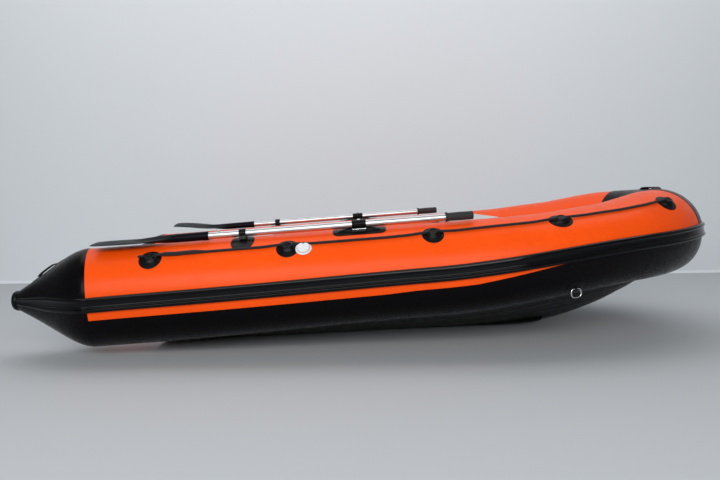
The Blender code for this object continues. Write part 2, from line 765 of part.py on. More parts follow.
below = []
for share in BOTTOM_SHARES[:4]:
    upper = across(bottom_at(share)) + np.array([0.0, 0.0, 2 * SEAT])
    upper[0, 1], upper[-1, 1] = REACH, -REACH
    upper[:, 0] += (share - BOTTOM_SHARES[0] == 0) * -SEAT * 10
    lower = upper.copy()
    lower[:, 2] = -TUBE_RADIUS
    below.append(np.concatenate([upper, lower[::-1]]))
bottom_form = add_object("bottom_form", loft_mesh("bottom_form", below), cutter=True)
cut(transom, bottom_form)

for side, word in SIDE_NAMES.items():
    name = f"{word}_transom_bracket"
    size = (
        2 * BRACKET_HALF_LENGTH, AXIS_Y - BRACKET_INSET, TRANSOM_WING_HEIGHT + BRACKET_DEPTH,
    )
    middle = side * size[1] / 2

    def block(length, title, floor=0.0):
        """A slab of the bracket's span along the boat, inboard of the tube's axis."""
        low, high = floor, size[2]
        corners = [(-length / 2, -size[1] / 2), (length / 2, -size[1] / 2),
                   (length / 2, size[1] / 2), (-length / 2, size[1] / 2)]
        return prism_mesh(title, corners, low, high)

    place = Matrix.Translation((TRANSOM_X, middle, 0.0))
    base = add_object(name, block(size[0], name), RUBBER)
    base.matrix_world = place
    cut(base, tube_form(side, BRACKET_BASE), "INTERSECT")
    cheeks = helper(
        f"{name}_cheeks", block(TRANSOM_THICKNESS + 2 * (SEAT + BRACKET_CHEEK), "cheeks"), place,
    )
    cut(cheeks, tube_form(side, BRACKET_DEPTH), "INTERSECT")
    cut(base, cheeks, "UNION")
    slot = helper(f"{name}_slot", block(TRANSOM_THICKNESS + 2 * SEAT, "slot", -TUBE_RADIUS), place)
    cut(slot, tube_form(side, BRACKET_BASE + SEAT))
    cut(base, slot)
    cut(base, tube_form(side, SEAT))
    cut(base, bottom_form)

# Motor plate on the transom's outer face
plate = prism_mesh("motor_plate", plate_outline, -MOTOR_PLATE_THICKNESS, 0.0)
motor_plate = add_object("motor_plate", plate, RUBBER)
motor_plate.matrix_world = Matrix(
    ((0, 0, 1, TRANSOM_BACK - SEAT), (1, 0, 0, 0), (0, 1, 0, plate_height), (0, 0, 0, 1))
)

# Drain: a flanged socket through the board and a plug that pulls out aft
flange, thin = DRAIN_FLANGE, DRAIN_FLANGE_THICKNESS
front, back = TRANSOM_THICKNESS / 2 + SEAT, -TRANSOM_THICKNESS / 2 - SEAT
socket_profile = [
    (DRAIN_BORE, back - thin), (flange, back - thin), (flange, back), (DRAIN_RADIUS, back),
    (DRAIN_RADIUS, front), (flange, front), (flange, front + thin), (DRAIN_BORE, front + thin),
]
SIDEWAYS = Matrix(((0, 0, 1, TRANSOM_X), (1, 0, 0, DRAIN_Y), (0, 1, 0, DRAIN_HEIGHT), (0, 0, 0, 1)))
socket = add_object("drain_socket", turned_mesh("drain_socket", socket_profile), RUBBER)
socket.matrix_world = SIDEWAYS
hole_size = 2 * (DRAIN_RADIUS + SEAT)
hole = prism_mesh("drain_hole", ellipse_outline(hole_size, hole_size), -REACH, REACH)
cut(transom, helper("drain_hole", hole, SIDEWAYS))
plug_radius, head = DRAIN_BORE - 2 * SEAT, flange - thin
plug_profile = [
    (0.0, back - 2 * thin - SEAT), (head, back - 2 * thin - SEAT), (head, back - thin - SEAT),
    (plug_radius, back - thin - SEAT), (plug_radius, 0.0), (0.0, 0.0),
]
plug = add_object("drain_plug", turned_mesh("drain_plug", plug_profile), GREY)
plug.matrix_world = SIDEWAYS


# Seat rails on the tubes, and the benches that slide on them
def seat_rail_profile(grow=0.0, widen=0.0):
    """T section of the seat rail as across and up pairs."""
    base, stem = SEAT_RAIL_BASE / 2 + widen, SEAT_RAIL_STEM / 2 + widen
    head, flat = SEAT_RAIL_HEAD / 2 + widen, SEAT_RAIL_FLANGE + grow
    top, under = SEAT_RAIL_HEIGHT + grow, SEAT_RAIL_HEIGHT * SEAT_RAIL_UNDER_SHARE - grow
    return [
        (-base, -grow), (-base, flat), (-stem, flat), (-stem, under), (-head, under), (-head, top),
        (head, top), (head, under), (stem, under), (stem, flat), (base, flat), (base, -grow),
    ]


def rail_frame(share, degrees=RAIL_ANGLE):
    """Foot point, across and off directions of the seat rail at a station number."""
    angle = math.radians(degrees)
    outward, upward = between(OUTWARD, share), between(UPWARD, share)
    off = math.cos(angle) * outward + math.sin(angle) * upward
    over = math.sin(angle) * outward - math.cos(angle) * upward
    return between(CENTRE, share) + off * (facet_radius(angle) + SEAT), over, off


def seat_rail_rings(start, end):
    """Rings of the seat rail between two places on the tube."""
    shares = [station_share(start), station_share(end)]
    shares += [float(i) for i in range(STATIONS) if shares[0] < i < shares[1]]
    rings = []
    for share in sorted(shares):
        foot, over, off = rail_frame(share)
        rings.append([foot + over * a + off * b for a, b in seat_rail_profile()])
    return rings


for side, word in SIDE_NAMES.items():
    rings = to_side(seat_rail_rings(SEAT_RAIL_START, SEAT_RAIL_END), side)
    add_object(f"{word}_seat_rail", loft_mesh(f"{word}_seat_rail", rings), RUBBER)


def bench(name, x, ease):
    """A bench board with a runner near each end that grips the seat rail.

    The ease widens the slots where the rail curves along the runner's way.
    """
    slope = float(sheer_gradient(np.array([x]))[0])
    raised = BENCH_RAISE_SHARE * TUBE_RADIUS
    place = Matrix.Translation((x, 0.0, float(sheer_height(x)) + raised))
    place = place @ Matrix.Rotation(-math.atan(slope), 4, "Y")
    fore = station_share(x + BENCH_WIDTH / 2)
    low = raised - BENCH_END_CLEARANCE - slope * BENCH_CORNER
    reach = between(CENTRE, fore)[1] - math.sqrt(TUBE_RADIUS ** 2 - low ** 2) - BENCH_END_CLEARANCE
    outline = rounded_rectangle(BENCH_WIDTH, 2 * reach, BENCH_CORNER)
    item = add_object(name, prism_mesh(name, outline, 0.0, BENCH_THICKNESS), GREY)
    item.matrix_world = place
    for side, word in SIDE_NAMES.items():
        foot, over, off = (to_side(v, side) for v in rail_frame(station_share(x)))
        inner = rounded_rectangle(RUNNER_LENGTH, RUNNER_WIDTH, SEAT_RAIL_FLANGE)
        lift = SEAT_RAIL_FLANGE + RUNNER_CLEARANCE * ease
        way = Vector(to_side(between(ALONG, station_share(x)), side))
        axes = Matrix((way, Vector(over), Vector(off)))
        if axes.determinant() < 0:
            axes[1] = -axes[1]
        stand = axes.transposed().to_4x4()
        stand.translation = Vector(foot)
        runner = prism_mesh("runner", inner, lift, SEAT_RAIL_HEIGHT + BENCH_THICKNESS)
        cut(item, helper(f"{name}_{word}_runner", runner, stand), "UNION")
        section = seat_rail_profile(RUNNER_CLEARANCE * ease, RUNNER_SIDE_CLEARANCE * ease)
        slot_rings = [[(end, over, up) for over, up in section] for end in (-BENCH_WIDTH, BENCH_WIDTH)]
        slot = loft_mesh("slot", slot_rings)
        cut(item, helper(f"{name}_{word}_slot", slot, stand))
    return item


bench("bench_aft", BENCH_AFT_X, 1.0)
bench("bench_fore", BENCH_FORE_X, FORE_BENCH_EASE)


# Oars: each lies along its tube, on an oarlock that rocks and turns
def oar(side, word):
    """One oar with its oarlock: pad, rocker, sleeve, shaft, blade, grip and button."""
    place = tube_place(side, OARLOCK_X, OARLOCK_ANGLE)
    pad = patch(
        f"{word}_oarlock_pad", side, place,
        rounded_rectangle(OARLOCK_PAD_LENGTH, OARLOCK_PAD_WIDTH, BENCH_CORNER), RUBBER,
    )
    rocker_length = SLEEVE_LENGTH - 2 * ROCKER_GAP
    for end in (1, -1):
        rings = []
        inner = rocker_length / 2 + ROCKER_GAP
        for step_share, height_share in HUMP_SHARES:
            x = end * (inner + HUMP_LENGTH * step_share)
            wide = HUMP_WIDTH / 2 * (1.0 - HUMP_TAPER_SHARE * step_share)
            high = HUMP_HEIGHT * height_share
            shoulder, crown = high * HUMP_SHOULDER_SHARE, wide * HUMP_TOP_SHARE
            rings.append([
                (x, wide, -HUMP_HEIGHT), (x, wide, shoulder), (x, crown, high),
                (x, -crown, high), (x, -wide, shoulder), (x, -wide, -HUMP_HEIGHT),
            ])
        hump = loft_mesh("hump", rings)
        cut(pad, helper(f"{word}_hump_{'fore' if end > 0 else 'aft'}", hump, place), "UNION")
    cut(pad, tube_form(side, SEAT))
    turn = Matrix.Rotation(math.pi / 2, 4, "Y")
    journal = ROCKER_JOURNAL + SEAT
    reach = rocker_length / 2 + HUMP_LENGTH * ROCKER_END_SHARE
    past = reach + ROCKER_GAP
    bore = prism_mesh("bore", ellipse_outline(2 * journal, 2 * journal, 8), -past, past)
    axle_place = place @ Matrix.Translation((0, 0, ROCKER_RAISE)) @ turn
    cut(pad, helper(f"{word}_rocker_bore", bore, axle_place))
    relief = ROCKER_RADIUS + ROCKER_GAP
    room = prism_mesh("room", ellipse_outline(2 * relief, 2 * relief, 10), -inner, inner)
    cut(pad, helper(f"{word}_rocker_room", room, axle_place))

    rocker_profile = [
        (0.0, -reach), (ROCKER_JOURNAL, -reach), (ROCKER_JOURNAL, -rocker_length / 2),
        (ROCKER_RADIUS, -rocker_length / 2), (ROCKER_RADIUS, rocker_length / 2),
        (ROCKER_JOURNAL, rocker_length / 2), (ROCKER_JOURNAL, reach), (0.0, reach),
    ]
    rocker = add_object(f"{word}_oarlock_swivel", turned_mesh("rocker", rocker_profile, 12), STEEL)
    rocker.matrix_world = axle_place
    axis_height = ROCKER_RAISE + ROCKER_RADIUS + 2 * SEAT + SLEEVE_WALL + OAR_SHAFT_RADIUS
    pin_top = axis_height + OAR_SHAFT_RADIUS + SLEEVE_WALL + 2 * SEAT
    pin_profile = [
        (0.0, ROCKER_RAISE), (PIN_RADIUS, ROCKER_RAISE), (PIN_RADIUS, pin_top),
        (PIN_HEAD, pin_top), (PIN_HEAD * PIN_CROWN_SHARE, pin_top + PIN_RADIUS), (0.0, pin_top + PIN_RADIUS),
    ]
    pin = helper(f"{word}_pin", turned_mesh("pin", pin_profile, 12), place)
    cut(rocker, pin, "UNION")

    tilt = Matrix.Rotation(-OAR_TILT, 4, "Y")
    lay = place @ Matrix.Translation((0, 0, axis_height)) @ tilt @ turn
    hole_size = 2 * (PIN_RADIUS + 2 * SEAT)
    pin_hole = prism_mesh("pin_hole", ellipse_outline(hole_size, hole_size, 12), -REACH, REACH)
    pin_hole = helper(f"{word}_pin_hole", pin_hole, place)
    shaft_start = -OAR_AFT + BLADE_LENGTH
    shaft_end = OAR_FORE - GRIP_FLANGE_LENGTH
    outer, inner_radius = OAR_SHAFT_RADIUS, OAR_SHAFT_RADIUS - OAR_WALL
    shaft_profile = [
        (inner_radius, shaft_start), (outer, shaft_start), (outer, shaft_end), (inner_radius, shaft_end),
    ]
    shaft = add_object(f"{word}_oar_shaft", turned_mesh("shaft", shaft_profile, 14), METAL)
    shaft.matrix_world = lay
    cut(shaft, pin_hole)
    hole_size = 2 * (BUTTON_RADIUS + SEAT)
    button_hole = prism_mesh("button_hole", ellipse_outline(hole_size, hole_size, 12), 0.0, REACH)
    upward = lay @ Matrix.Translation((0, 0, -BUTTON_BACK)) @ Matrix.Rotation(-math.pi / 2, 4, "Y")
    cut(shaft, helper(f"{word}_button_hole", button_hole, upward))

    wall = OAR_SHAFT_RADIUS + SEAT
    sleeve_profile = [
        (wall, -SLEEVE_LENGTH / 2), (wall + SLEEVE_WALL, -SLEEVE_LENGTH / 2),
        (wall + SLEEVE_WALL, SLEEVE_LENGTH / 2), (wall, SLEEVE_LENGTH / 2),
    ]
    sleeve = add_object(f"{word}_oar_sleeve", turned_mesh("sleeve", sleeve_profile, 14), RUBBER)
    sleeve.matrix_world = lay
    cut(sleeve, pin_hole)

    grip_start = OAR_FORE - GRIP_LENGTH
    grip_profile = [
        (wall, grip_start), (GRIP_FLANGE, grip_start), (GRIP_FLANGE, grip_start + GRIP_FLANGE_LENGTH),
        (GRIP_RADIUS, grip_start + 2 * GRIP_FLANGE_LENGTH), (GRIP_RADIUS, OAR_FORE - GRIP_FLANGE_LENGTH),
        (GRIP_RADIUS * GRIP_END_SHARE, OAR_FORE), (0.0, OAR_FORE),
        (0.0, shaft_end + SEAT), (wall, shaft_end + SEAT),
    ]
    grip = add_object(f"{word}_oar_grip", turned_mesh("grip", grip_profile, 14), RUBBER)
    grip.matrix_world = lay

    button_profile = [
        (0.0, inner_radius * BUTTON_FOOT_SHARE), (BUTTON_RADIUS, inner_radius * BUTTON_FOOT_SHARE),
        (BUTTON_RADIUS, outer + BUTTON_PROUD * BUTTON_CROWN_SHARE),
        (BUTTON_RADIUS * BUTTON_CROWN_SHARE, outer + BUTTON_PROUD),
        (0.0, outer + BUTTON_PROUD),
    ]
    button = add_object(f"{word}_oar_button", turned_mesh("button", button_profile, 12), STEEL)
    button.matrix_world = upward

    blade_name = f"{word}_oar_blade"
    rings = []
    blade_end = BLADE_LENGTH - SOCKET_LENGTH * SOCKET_LAP_SHARE
    for along_share, width_share, thick_share in BLADE_SHARES:
        x = -OAR_AFT + blade_end * along_share
        wide = BLADE_WIDTH / 2 * width_share
        thick = BLADE_THICKNESS / 2 * thick_share
        near = wide * BLADE_EDGE_SHARE
        rings.append([
            (thick, near, x), (thick, 0.0, x), (thick, -near, x), (0.0, -wide, x),
            (-thick, -near, x), (-thick, 0.0, x), (-thick, near, x), (0.0, wide, x),
        ])
    blade = add_object(blade_name, loft_mesh(blade_name, rings), BLADE)
    blade.matrix_world = lay
    socket_start = -OAR_AFT + blade_end * SOCKET_START_SHARE
    socket_end = shaft_start + SOCKET_LENGTH * SOCKET_MOUTH_SHARE
    stop = shaft_start - SEAT
    socket_profile = [
        (0.0, socket_start), (SOCKET_RADIUS * SOCKET_TIP_SHARE, socket_start),
        (SOCKET_RADIUS, shaft_start - GRIP_FLANGE),
        (SOCKET_RADIUS, socket_end), (wall, socket_end), (wall, stop), (0.0, stop),
    ]
    socket = helper(f"{word}_blade_socket", turned_mesh("socket", socket_profile, 14), lay)
    cut(blade, socket, "UNION")
    return axis_height


# A rubber clip near the blade end holds each stowed oar
def oar_clip(side, word, axis_height):
    """A pad on the tube with a strap that closes over the shaft."""
    place = tube_place(side, CLIP_X, OARLOCK_ANGLE)
    outline = rounded_rectangle(CLIP_LENGTH, CLIP_WIDTH, BENCH_CORNER)
    clip = patch(f"{word}_oar_clip", side, place, outline, RUBBER)
    reach = OARLOCK_X - CLIP_X
    height = axis_height - reach * OAR_TILT
    inner = OAR_SHAFT_RADIUS + SEAT
    bore = inner / math.cos(math.pi / 16)
    outer = inner + CLIP_STRAP_THICKNESS
    ring_profile = [
        (0.0, -CLIP_STRAP_WIDTH / 2), (outer, -CLIP_STRAP_WIDTH / 2),
        (outer, CLIP_STRAP_WIDTH / 2), (0.0, CLIP_STRAP_WIDTH / 2),
    ]
    turn = Matrix.Rotation(-OAR_TILT, 4, "Y") @ Matrix.Rotation(math.pi / 2, 4, "Y")
    lay = place @ Matrix.Translation((0, 0, height)) @ turn
    foot = rounded_rectangle(CLIP_STRAP_WIDTH, 2 * outer, CLIP_STRAP_THICKNESS)
    stem = helper(f"{word}_clip_stem", prism_mesh("stem", foot, -HOLDER_RADIUS, height), place)
    cut(clip, stem, "UNION")
    strap = helper(f"{word}_clip_strap", turned_mesh("strap", ring_profile, 16), lay)
    cut(clip, strap, "UNION")
    hollow = prism_mesh("hollow", ellipse_outline(2 * bore, 2 * bore, 16), -CLIP_LENGTH, CLIP_LENGTH)
    cut(clip, helper(f"{word}_clip_hollow", hollow, lay))
    cut(clip, tube_form(side, SEAT))


for side, word in SIDE_NAMES.items():
    oar_clip(side, word, oar(side, word))


# Lifeline along each tube, through its holders
def rope_points(start, end):
    """Route of the rope: along the tube at one angle and lift."""
    angle = math.radians(ROPE_ANGLE)
    shares = [station_share(start), station_share(end)]
    shares += [float(i) for i in range(STATIONS) if shares[0] < i < shares[1]]
    points = []
    for share in sorted(shares):
        outward, upward = between(OUTWARD, share), between(UPWARD, share)
        off = math.cos(angle) * outward + math.sin(angle) * upward
        points.append((between(CENTRE, share), off, facet_radius(angle) + ROPE_LIFT, upward, outward))
    return points, angle


def rope_mesh(name, side, radius, start, end, sides):
    """A round cord on the rope's route."""
    points, angle = rope_points(start, end)
    rings = []
    for centre, off, reach, upward, outward in points:
        over = math.sin(angle) * outward - math.cos(angle) * upward
        middle = centre + off * reach
        turns = [math.tau * (i + 0.5) / sides for i in range(sides)]
        rings.append([middle + radius * (math.cos(t) * off + math.sin(t) * over) for t in turns])
    return loft_mesh(name, to_side(rings, side))


for side, word in SIDE_NAMES.items():
    start, end = HOLDER_X[0] - ROPE_TAIL, HOLDER_X[-1] + ROPE_TAIL / 2
    rope = rope_mesh(f"{word}_lifeline", side, ROPE_RADIUS, start, end, 8)
    add_object(f"{word}_lifeline", rope, ROPE)
    route = rope_mesh("route", side, ROPE_RADIUS + SEAT, start - ROPE_TAIL, end + ROPE_TAIL, 8)
    route = add_object(f"{word}_rope_route", route, cutter=True)
    dome_profile = [(0.0, -HOLDER_RADIUS / 2), (HOLDER_DOME_RADIUS, -HOLDER_RADIUS / 2)]
    dome_profile += [
        (HOLDER_DOME_RADIUS * math.cos(t), HOLDER_DOME_HEIGHT * math.sin(t))
        for t in np.radians([0, 32, 62])
    ]
    dome_profile.append((0.0, HOLDER_DOME_HEIGHT))
    for number, x in enumerate(HOLDER_X, 1):
        place = tube_place(side, x, HOLDER_ANGLE)
        outline = ellipse_outline(2 * HOLDER_RADIUS, 2 * HOLDER_RADIUS, 14)
        holder = patch(f"{word}_rope_holder_{number}", side, place, outline, RUBBER)
        dome = helper(f"{word}_dome_{number}", turned_mesh("dome", dome_profile, 10), place)
        cut(holder, dome, "UNION")
        cut(holder, tube_form(side, SEAT))
        cut(holder, route)

# Air valves: a flanged body on each tube and a cap that turns in it
for side, word in SIDE_NAMES.items():
    place = tube_place(side, VALVE_X, VALVE_ANGLE)
    ring_profile = [
        (VALVE_BORE, -VALVE_BODY_HEIGHT), (VALVE_RADIUS, -VALVE_BODY_HEIGHT),
        (VALVE_RADIUS, VALVE_BODY_HEIGHT * VALVE_EDGE_SHARES[1]),
        (VALVE_RADIUS * VALVE_EDGE_SHARES[0], VALVE_BODY_HEIGHT),
        (VALVE_BORE, VALVE_BODY_HEIGHT),
    ]
    body = add_object(f"{word}_valve_body", turned_mesh("valve_body", ring_profile), GREY)
    body.matrix_world = place
    cut(body, tube_form(side, SEAT))
    low = VALVE_BODY_HEIGHT + SEAT
    stem = VALVE_BORE - 2 * SEAT
    cap_profile = [
        (0.0, 2 * SEAT), (stem, 2 * SEAT), (stem, low), (VALVE_CAP_RADIUS, low),
        (VALVE_CAP_RADIUS, low + VALVE_CAP_HEIGHT * CAP_EDGE_SHARES[1]),
        (VALVE_CAP_RADIUS * CAP_EDGE_SHARES[0], low + VALVE_CAP_HEIGHT), (0.0, low + VALVE_CAP_HEIGHT),
    ]
    cap = add_object(f"{word}_valve_cap", turned_mesh("valve_cap", cap_profile), GREY)
    cap.matrix_world = place
    bar_place = place @ Matrix.Translation((0, 0, low + VALVE_CAP_HEIGHT))
    long_share, corner_share, high_share = CAP_BAR_SHARES
    corner = VALVE_CAP_HEIGHT * corner_share
    grip = rounded_rectangle(VALVE_CAP_RADIUS * long_share, VALVE_CAP_HEIGHT, corner)
    bar = prism_mesh("bar", grip, -VALVE_CAP_HEIGHT / 2, VALVE_CAP_HEIGHT * high_share)
    cut(cap, helper(f"{word}_cap_bar", bar, bar_place), "UNION")

# Tow rings low on the bow, each free in the block of its patch
for side, word in SIDE_NAMES.items():
    place = tube_place(side, TOW_X, TOW_ANGLE, SKIN_THICKNESS)
    outline = ellipse_outline(2 * TOW_PATCH_RADIUS, 2 * TOW_PATCH_RADIUS, 16)
    name = f"{word}_tow_patch"
    item = add_object(name, prism_mesh(name, outline, -TOW_PATCH_RADIUS, TOW_PATCH_RADIUS), RUBBER)
    item.matrix_world = place
    inner_lift = 3 * SEAT + SKIN_THICKNESS
    cut(item, tube_form(side, inner_lift + PATCH_THICKNESS), "INTERSECT")
    block_outline = rounded_rectangle(TOW_BLOCK_LENGTH, TOW_BLOCK_WIDTH, TOW_WIRE)
    block = prism_mesh("block", block_outline, -TOW_BLOCK_HEIGHT, TOW_BLOCK_HEIGHT)
    cut(item, helper(f"{word}_tow_block", block, place), "UNION")
    cut(item, tube_form(side, inner_lift))
    hole_size = 2 * (TOW_WIRE + 2 * SEAT)
    bar_height = TOW_BLOCK_HEIGHT - 2 * TOW_WIRE
    along = place @ Matrix.Translation((0, 0, bar_height)) @ Matrix.Rotation(math.pi / 2, 4, "Y")
    hole = prism_mesh("hole", ellipse_outline(hole_size, hole_size, 12), -TOW_BLOCK_LENGTH, TOW_BLOCK_LENGTH)
    cut(item, helper(f"{word}_tow_hole", hole, along))

    path = bpy.data.curves.new(f"{word}_tow_ring", "CURVE")
    path.dimensions = "3D"
    path.bevel_depth = TOW_WIRE
    path.bevel_resolution = 1
    spline = path.splines.new("POLY")
    loop = rounded_rectangle(TOW_RING_LENGTH, TOW_RING_WIDTH, TOW_RING_WIDTH * TOW_CORNER_SHARE)
    spline.points.add(len(loop) - 1)
    for point, (x, y) in zip(spline.points, loop):
        point.co = (x, y, 0.0, 1.0)
    spline.use_cyclic_u = True
    path.materials.append(STEEL)
    ring = bpy.data.objects.new(f"{word}_tow_ring", path)
    BOAT.objects.link(ring)
    lean = math.radians(90 + TOW_ANGLE)
    hang = Matrix.Translation((0, 0, bar_height)) @ Matrix.Rotation(side * lean, 4, "X")
    ring.matrix_world = place @ hang @ Matrix.Translation((0, side * TOW_RING_WIDTH / 2, 0))

# Bow patch over the joint of the two chambers, with its carrying handle
def bow_patch_ring(index, side, narrow):
    """Closed section of the bow patch at a station, drawn in by the narrowing."""
    steps = [(2 * k + 1) * HALF_FACET for k in range(3, 9)]
    first = steps[0] - HALF_FACET * (1.8 - narrow)
    last = steps[-1] + HALF_FACET * (1.8 - narrow)
    angles = np.array([first] + steps + [last])
    near = tube_ring(index, angles, SEAT)
    far = tube_ring(index, angles, SEAT + PATCH_THICKNESS)
    return to_side(np.concatenate([near, far[::-1]]), side)


marks = [(-3, 1.5), (-2, 0.6), (-1, 0.0)]
rings = [bow_patch_ring(STATIONS + i, 1, narrow) for i, narrow in marks]
rings += [bow_patch_ring(STATIONS + i, -1, narrow) for i, narrow in marks[:-1][::-1]]
bow_patch = add_object("bow_patch", loft_mesh("bow_patch", rings), BLACK)
bow_top = tube_ring(STATIONS - 1, np.array([math.pi / 2]), SEAT)[0]
arch = arch_mesh("bow_handle", HANDLE_SPAN, HANDLE_RISE, HANDLE_WIDTH, HANDLE_THICKNESS, HANDLE_THICKNESS)
place = Matrix.Translation(Vector(bow_top)) @ Matrix.Rotation(math.pi / 2, 4, "Z")
cut(bow_patch, helper("bow_handle", arch, place), "UNION")
both = chamber_rings(SEAT * BOW_SHAVE_SHARE)[-BOW_FORM_RINGS:]
both = list(both) + [to_side(ring, -1) for ring in both[:-1]][::-1]
cut(bow_patch, helper("bow_form", loft_mesh("bow_form", both), Matrix.Identity(4)))
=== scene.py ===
"""The looks of an inflatable boat: coated fabric, moulded rubber, alloy and rope.

Metres, in the CAD frame: +X to the bow, +Y to port, +Z up. Every new surface is a grid
worked out with numpy. The tubes and all that lies on them share one frame of the tube.
"""
import json
import math

import bmesh
import bpy
import numpy as np
from mathutils import Matrix, Vector


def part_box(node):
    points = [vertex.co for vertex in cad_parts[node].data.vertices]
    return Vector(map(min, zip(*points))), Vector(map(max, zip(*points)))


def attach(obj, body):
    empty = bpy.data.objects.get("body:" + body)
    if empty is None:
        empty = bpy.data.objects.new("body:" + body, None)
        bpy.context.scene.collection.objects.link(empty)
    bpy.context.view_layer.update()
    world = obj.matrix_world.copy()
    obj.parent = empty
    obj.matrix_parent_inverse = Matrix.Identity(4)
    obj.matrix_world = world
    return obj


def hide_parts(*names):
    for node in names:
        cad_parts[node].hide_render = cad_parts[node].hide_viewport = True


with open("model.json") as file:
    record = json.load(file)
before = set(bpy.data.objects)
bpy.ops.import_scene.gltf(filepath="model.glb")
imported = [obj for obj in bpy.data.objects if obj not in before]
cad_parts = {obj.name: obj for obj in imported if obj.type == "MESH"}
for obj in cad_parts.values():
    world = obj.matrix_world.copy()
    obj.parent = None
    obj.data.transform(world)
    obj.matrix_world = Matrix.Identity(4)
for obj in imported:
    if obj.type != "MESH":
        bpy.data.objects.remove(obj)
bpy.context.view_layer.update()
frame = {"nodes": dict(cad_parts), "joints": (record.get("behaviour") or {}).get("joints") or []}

# The hull's form, as in the CAD part
LENGTH_OVERALL = 3.42
AXIS_Y = 0.575
TUBE_RADIUS = 0.215
SKIN_RADIUS = 0.2134
RAIL_PROUD = 0.016
STERN_AXIS_HEIGHT = 0.277
SHEER_SLOPE = 0.060
SHEER_RISE = 0.066
RISE_START = 0.20
RISE_END = 1.16
STRAIGHT_END = 0.41
CONE_LENGTH = 0.36
CONE_SEAM_SLANT = 0.05
CONE_TIP_RADIUS = 0.042
CONE_TIP_DOME = 0.014
SEAM_X = -LENGTH_OVERALL / 2 + CONE_LENGTH
ARC_LENGTH_X = LENGTH_OVERALL / 2 - RAIL_PROUD - TUBE_RADIUS - STRAIGHT_END
CROWN_DROP, CROWN_FALL, CROWN_RISE = 0.18, (0.05, 0.86), (1.00, 1.36)
BELLY, BELLY_FALL = 0.11, (-1.1, 0.2)
BOW_FULLNESS, BOW_FULL = 0.045, (0.95, 1.45)
RAIL_LINE, RAIL_LINE_END = (-0.0068, -0.0060, 0.0153, 0.0140, -0.0158, 0.0003), 1.40
SIDES = {"port": 1, "starboard": -1}
TURN = 2 * math.pi


# Shapes from grids of points
def unit(vectors):
    """Each vector divided by its own length."""
    vectors = np.asarray(vectors, float)
    return vectors / np.linalg.norm(vectors, axis=-1, keepdims=True)


def smooth_step(value, low, high):
    """0 below low, 1 above high, and 3t squared less 2t cubed between."""
    t = np.clip((value - low) / (high - low), 0.0, 1.0)
    return t * t * (3 - 2 * t)


def tube_frame(x):
    """The tube's axis and its along, outward and upward directions at places in X.

    The axis is straight in plan up to STRAIGHT_END and then a quarter of an ellipse. Its
    height is a straight sheer plus half a cosine wave.
    """
    x = np.asarray(x, float)
    turn = np.arcsin(np.clip((x - STRAIGHT_END) / ARC_LENGTH_X, 0.0, 1.0))
    run = RISE_END - RISE_START
    share = np.clip((x - RISE_START) / run, 0.0, 1.0)
    rise = SHEER_RISE * (1 - np.cos(np.pi * share)) / 2
    height = STERN_AXIS_HEIGHT + SHEER_SLOPE * (x - SEAM_X) + rise
    slope = SHEER_SLOPE + SHEER_RISE * np.pi * np.sin(np.pi * share) / (2 * run)
    centre = np.stack([x, AXIS_Y * np.cos(turn), height], -1)
    ahead = np.where(turn > 0, ARC_LENGTH_X * np.cos(turn), 1.0)
    along = unit(np.stack([ahead, np.where(turn > 0, -AXIS_Y * np.sin(turn), 0.0), slope * ahead], -1))
    outward = unit(np.stack([-along[..., 1], along[..., 0], np.zeros(x.shape)], -1))
    return centre, along, outward, np.cross(along, outward)


def crown(x):
    """How high the tube's upper half stands: full aft, lower ahead of the fore bench.

    One less a share of two smooth steps, the first squared and rising, the second falling.
    """
    return 1 - CROWN_DROP * smooth_step(x, *CROWN_FALL) ** 2 * (1 - smooth_step(x, *CROWN_RISE))


def belly(x):
    """How deep the tube's lower half hangs: one and a share aft, by a smooth step to one."""
    return 1 + BELLY * (1 - smooth_step(x, *BELLY_FALL))


def tube_skin(x, angle, lift=0.0):
    """Points at an angle round the tube, 0 outboard and a quarter turn on top.

    The upper half is as high as its crown and the lower half as deep as its belly. The
    lower half fills out in the bow by the squared sine of twice the angle.
    """
    x = np.asarray(x, float)
    centre, _, outward, upward = tube_frame(x)
    angle, lift = np.asarray(angle)[..., None], np.asarray(lift)[..., None]
    tall = np.where(np.sin(angle) > 0, crown(x)[..., None], belly(x)[..., None])
    full = np.where(np.sin(angle) > 0, 0.0, BOW_FULLNESS * smooth_step(x, *BOW_FULL)[..., None])
    reach = SKIN_RADIUS * (1 + full * np.sin(2 * angle) ** 2)
    return centre + (reach + lift) * np.cos(angle) * outward + (reach * tall + lift) * np.sin(angle) * upward


def tube_places(count_straight, count_arc, start=SEAM_X):
    """Places in X, even along the straight part and even in turn round the bow."""
    arc = STRAIGHT_END + ARC_LENGTH_X * np.sin(np.linspace(0, np.pi / 2, count_arc + 1)[1:])
    return np.concatenate([np.linspace(start, STRAIGHT_END, count_straight), arc])


def mirrored(points, side):
    """Port points as they are, or with Y turned over for starboard."""
    return np.asarray(points) * np.array([1.0, side, 1.0])


def squarer(values, power):
    """Cosines or sines brought to a power with their signs kept: corners fill below 1."""
    return np.sign(values) * np.abs(values) ** power


def circle(steps):
    """Angles evenly round a full turn, without the last that closes it."""
    return np.linspace(0, TURN, steps, endpoint=False)


PARTS = bpy.data.collections.new("boat_looks")
bpy.context.scene.collection.children.link(PARTS)
# Distances under which points are one and an edge is nothing
MERGE, DEGENERATE = 1e-6, 1e-7


